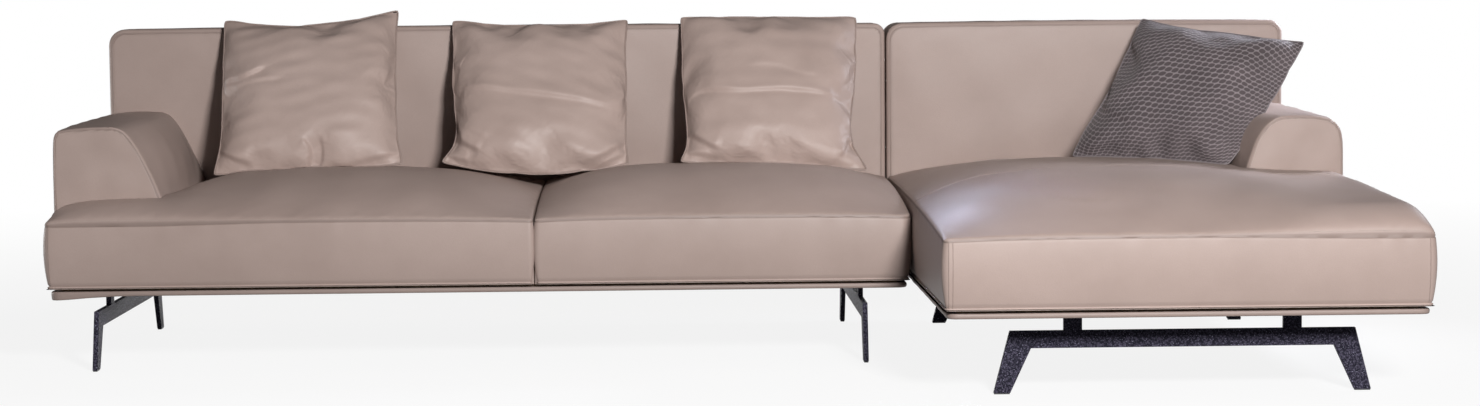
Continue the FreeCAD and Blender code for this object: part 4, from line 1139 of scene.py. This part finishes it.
def makeCushion(name, shape):
    looks, form = cushionLooks, cushionForms[name]
    sheets = []
    for sheet in shape:
        sheet = bothWays(sheet, lambda rows: smoothCurve(rows, looks["finer"]))
        calm = bothWays(sheet, lambda rows: lowPass(rows, looks["calm"]))
        sheets.append(calm + looks["puckers"] * (sheet - calm))
    front, rear = sheets
    side = front.shape[0] - 1
    share = np.linspace(0, 1, side + 1)
    u, v = np.meshgrid(share, share, indexing="ij")
    outline = [(x / 1000, z / 1000) for x, z in form["outline"] + form["outline"][:1]]
    targets = (outline[8:13][::-1], outline[0:5], outline[12:17], outline[4:9][::-1])
    moves = [evenPath(smoothCurve(target, 10), side + 1) - lowPass(edge[:, [0, 2]])
             for target, edge in zip(targets, (front[:, 0], front[:, -1], front[0], front[-1]))]
    move = coons(*moves, u, v)
    thick = np.percentile(rear[..., 1], 99.5) - np.percentile(front[..., 1], 0.5)
    for sheet in sheets:
        sheet[..., [0, 2]] += move
        sheet[..., 1] *= form["thick"] / thick
    plane = front[..., [0, 2]]
    fromEdge = np.minimum(np.minimum(u, 1 - u), np.minimum(v, 1 - v))
    inner = climb(fromEdge, 0.02)
    for depth, width, *places in form["folds"]:
        front[..., 1] -= foldPush(plane, side, inner, depth / 1000, width / 1000, places)
    waves = ripple((plane * (1, 1.6)).reshape(-1, 2), looks["waves"], form["seed"])
    front[..., 1] += waves.reshape(u.shape) * inner
    pair = np.stack(sheets)
    pair[0, [0, -1], :, 1] -= looks["gap"]
    pair[0, :, [0, -1], 1] -= looks["gap"]
    low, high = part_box(name + "_cover")
    spin = np.array(turnMatrix(*form["pose"]))
    points = pair.reshape(-1, 3) @ spin.T + np.array((low + high) / 2)
    ground = seatTop(points[:, 0], points[:, 1])
    sinking = ground + looks["aboveSeat"] - points[:, 2]
    points[:, 2] += np.where((ground > 0) & (sinking > 0), sinking, 0)
    points[:, 1] = np.minimum(points[:, 1], looks["backPlane"])
    nodes, loop, faces, upper = fullBlock(side, side, 0)
    # painted shade along the line just inside the cushion's edge, on both sheets
    seamShade = 0.55 * bell(fromEdge * 0.47 - looks["hemEdge"], 0.0022).ravel()
    material, weltMaterial, slot = ((woven, weltCloth, "woven_fabric") if name == "woven_cushion" else
                                    (litCushionLeather, shadedPipingLeather, "taupe_leather"))
    piece = dress(name, points, faces, name, slot, material, (name + "_cover", name + "_filling"),
                  {"seamShade": np.concatenate([seamShade, seamShade])})
    flat = np.stack([u, v], -1).reshape(-1, 2) * (2 * looks["start"])
    flat = np.vstack([flat, flat + 0.0037])
    corners = np.empty(len(piece.data.loops), np.int32)
    piece.data.loops.foreach_get("vertex_index", corners)
    piece.data.uv_layers.new(name="pattern").data.foreach_set("uv", flat[corners].astype(np.float32).ravel())
    rim = (points[upper] + points[upper + (side + 1) ** 2]) / 2
    rim = evenPath(np.vstack([rim, rim[:1]]), 620)[:-1]
    for _ in range(4):
        rim = (np.roll(rim, 1, 0) + rim + np.roll(rim, -1, 0)) / 3
    welt = sweepProfile(rim, circle(looks["welt"]), spin @ np.array([0, -1.0, 0]), closed=True)
    dress(name + "_welt", *welt, name, slot, weltMaterial)
    return thick


cushionShapes = inflate(list(cushionForms))
for cushionName, cushionShape in cushionShapes.items():
    print("cushion", cushionName, "blown to", round(float(makeCushion(cushionName, cushionShape)), 3), "m")

# Stage, lamps and camera

# the photo's camera: its place, how far it turns right, looks down and rolls, and its focal length in pixels
cameraLooks = {
    "place": (-0.1116, -6.7796, 0.8788), "turnRight": 0.0294, "lookDown": 0.0726, "roll": 0.0081,
    "focal": 2757.8, "width": 1480.0, "sensor": 36.0,
}


def makeCamera(looks):
    turn, down, roll = looks["turnRight"], looks["lookDown"], looks["roll"]
    right = np.array([math.cos(turn), -math.sin(turn), 0])
    level = np.array([math.sin(turn), math.cos(turn), 0])
    rise = np.array([0, 0, 1.0])
    ahead = level * math.cos(down) - rise * math.sin(down)
    up = rise * math.cos(down) + level * math.sin(down)
    right, up = right * math.cos(roll) - up * math.sin(roll), right * math.sin(roll) + up * math.cos(roll)
    camera = bpy.data.objects.new("photoCamera", bpy.data.cameras.new("photoCamera"))
    bpy.context.scene.collection.objects.link(camera)
    axes = Matrix((right, up, -ahead)).transposed().to_4x4()
    camera.matrix_world = Matrix.Translation(looks["place"]) @ axes
    camera.data.sensor_width = looks["sensor"]
    camera.data.lens = looks["focal"] / looks["width"] * looks["sensor"]
    camera.data.clip_end = 60
    bpy.context.scene.camera = camera


def areaLamp(name, place, target, size, power, colour, spread=180.0):
    lamp = bpy.data.lights.new(name, "AREA")
    lamp.shape = "RECTANGLE"
    lamp.size, lamp.size_y = size
    lamp.energy = power
    lamp.color = colour
    lamp.spread = math.radians(spread)
    holder = bpy.data.objects.new(name, lamp)
    bpy.context.scene.collection.objects.link(holder)
    holder.location = place
    holder.rotation_euler = (Vector(target) - Vector(place)).to_track_quat("-Z", "Y").to_euler()


# place, aim, size, power and colour of each lamp, and the spread in degrees of the narrow ones
lampLooks = {
    "keyLamp": ((1.25, -5.4, 2.5), (0.1, 0.2, 0.5), (0.8, 0.8), 405.0, (1.0, 0.985, 0.985)),
    "rightLamp": ((2.7, 1.1, 1.5), (1.45, 0.35, 0.58), (0.7, 0.5), 7.0, (0.84, 0.88, 1.0), 50.0),
    "coolLamp": ((-0.5, 3.0, 3.05), (0.60, -0.66, 0.45), (0.4, 0.28), 0.40, (0.68, 0.74, 1.0), 10.0),
    "rearLamp": ((-0.4, 5.6, 0.42), (0.0, 0.8, 0.42), (3.2, 0.5), 150.0, (1.0, 0.985, 0.985)),
    "leftLamp": ((-5.2, 1.75, 0.45), (-1.6, 0.35, 0.42), (1.2, 0.5), 60.0, (1.0, 0.985, 0.985)),
}
# strengths low down and overhead, between which heights they change, and the same for the white that is seen
worldLooks = {"horizon": 0.17, "ceiling": 0.03, "rise": (0.02, 0.35), "tint": (0.95, 0.96, 1.0, 1),
              "shownCeiling": 0.06, "shownRise": (0.012, 0.05)}
floorLooks = {"tone": (0.84, 0.84, 0.84, 1), "bounce": (0.16, 0.16, 0.16, 1), "glow": 0.87,
              "glowSpan": (2.2, 6.0), "half": 14}


# 1 for the rays of the camera, of glass and of mirrors and 0 for the others; then the camera's alone
def seenRays(tree):
    rays = addNode(tree, "LightPath").outputs
    seen = mathNode(tree, "MAXIMUM", rays["Is Camera Ray"], rays["Is Transmission Ray"])
    return mathNode(tree, "MAXIMUM", seen, rays["Is Glossy Ray"]), rays["Is Camera Ray"]


def mixShaders(tree, factor, first, second):
    return addNode(tree, "MixShader", {0: factor, 1: first.outputs[0], 2: second.outputs[0]}).outputs[0]


def makeWorld(looks):
    world = bpy.data.worlds.new("studio")
    bpy.context.scene.world = world
    world.use_nodes = True
    tree = world.node_tree
    tree.nodes.clear()
    seen, camera = seenRays(tree)
    toward = addNode(tree, "TexCoord").outputs["Generated"]
    direction = addNode(tree, "SeparateXYZ", {0: toward}).outputs["Z"]
    strength = rangeNode(tree, direction, *looks["rise"], looks["horizon"], looks["ceiling"])
    ambient = addNode(tree, "Background", {"Color": looks["tint"], "Strength": strength})
    shown = rangeNode(tree, direction, *looks["shownRise"], 1.0, looks["shownCeiling"])
    shown = mathNode(tree, "MAXIMUM", shown, camera)
    white = addNode(tree, "Background", {"Color": (1, 1, 1, 1), "Strength": shown})
    addNode(tree, "OutputWorld", {0: mixShaders(tree, seen, ambient, white)})


# a pale floor that keeps the sofa's shadow, glows toward white where it is seen, and fades into it far out
def makeFloor(looks):
    mesh = bpy.data.meshes.new("studioFloor")
    corners = [(x * looks["half"], y * looks["half"], 0) for x, y in ((-1, -1), (1, -1), (1, 1), (-1, 1))]
    mesh.from_pydata(corners, [], [(0, 1, 2, 3)])
    floor = bpy.data.objects.new("studioFloor", mesh)
    bpy.context.scene.collection.objects.link(floor)
    material, tree, shader, vector = newMaterial("paleFloor")
    seen, camera = seenRays(tree)
    feed(tree, shader, {"Roughness": 0.9, "Specular IOR Level": 0.0,
                        "Base Color": mixColour(tree, seen, looks["bounce"], looks["tone"])})
    glow = addNode(tree, "Emission", {"Strength": 1.0})
    away = addNode(tree, "VectorMath", {0: vector}, operation="LENGTH").outputs["Value"]
    share = mathNode(tree, "MULTIPLY", seen, rangeNode(tree, away, *looks["glowSpan"], looks["glow"], 1.0))
    feed(tree, tree.nodes["Material Output"], {0: mixShaders(tree, share, shader, glow)})
    mesh.materials.append(material)


makeWorld(worldLooks)
makeFloor(floorLooks)
bpy.context.scene.view_settings.view_transform = "Standard"
for lampName, settings in lampLooks.items():
    areaLamp(lampName, *settings)
makeCamera(cameraLooks)
print("stage, lamps and camera set")
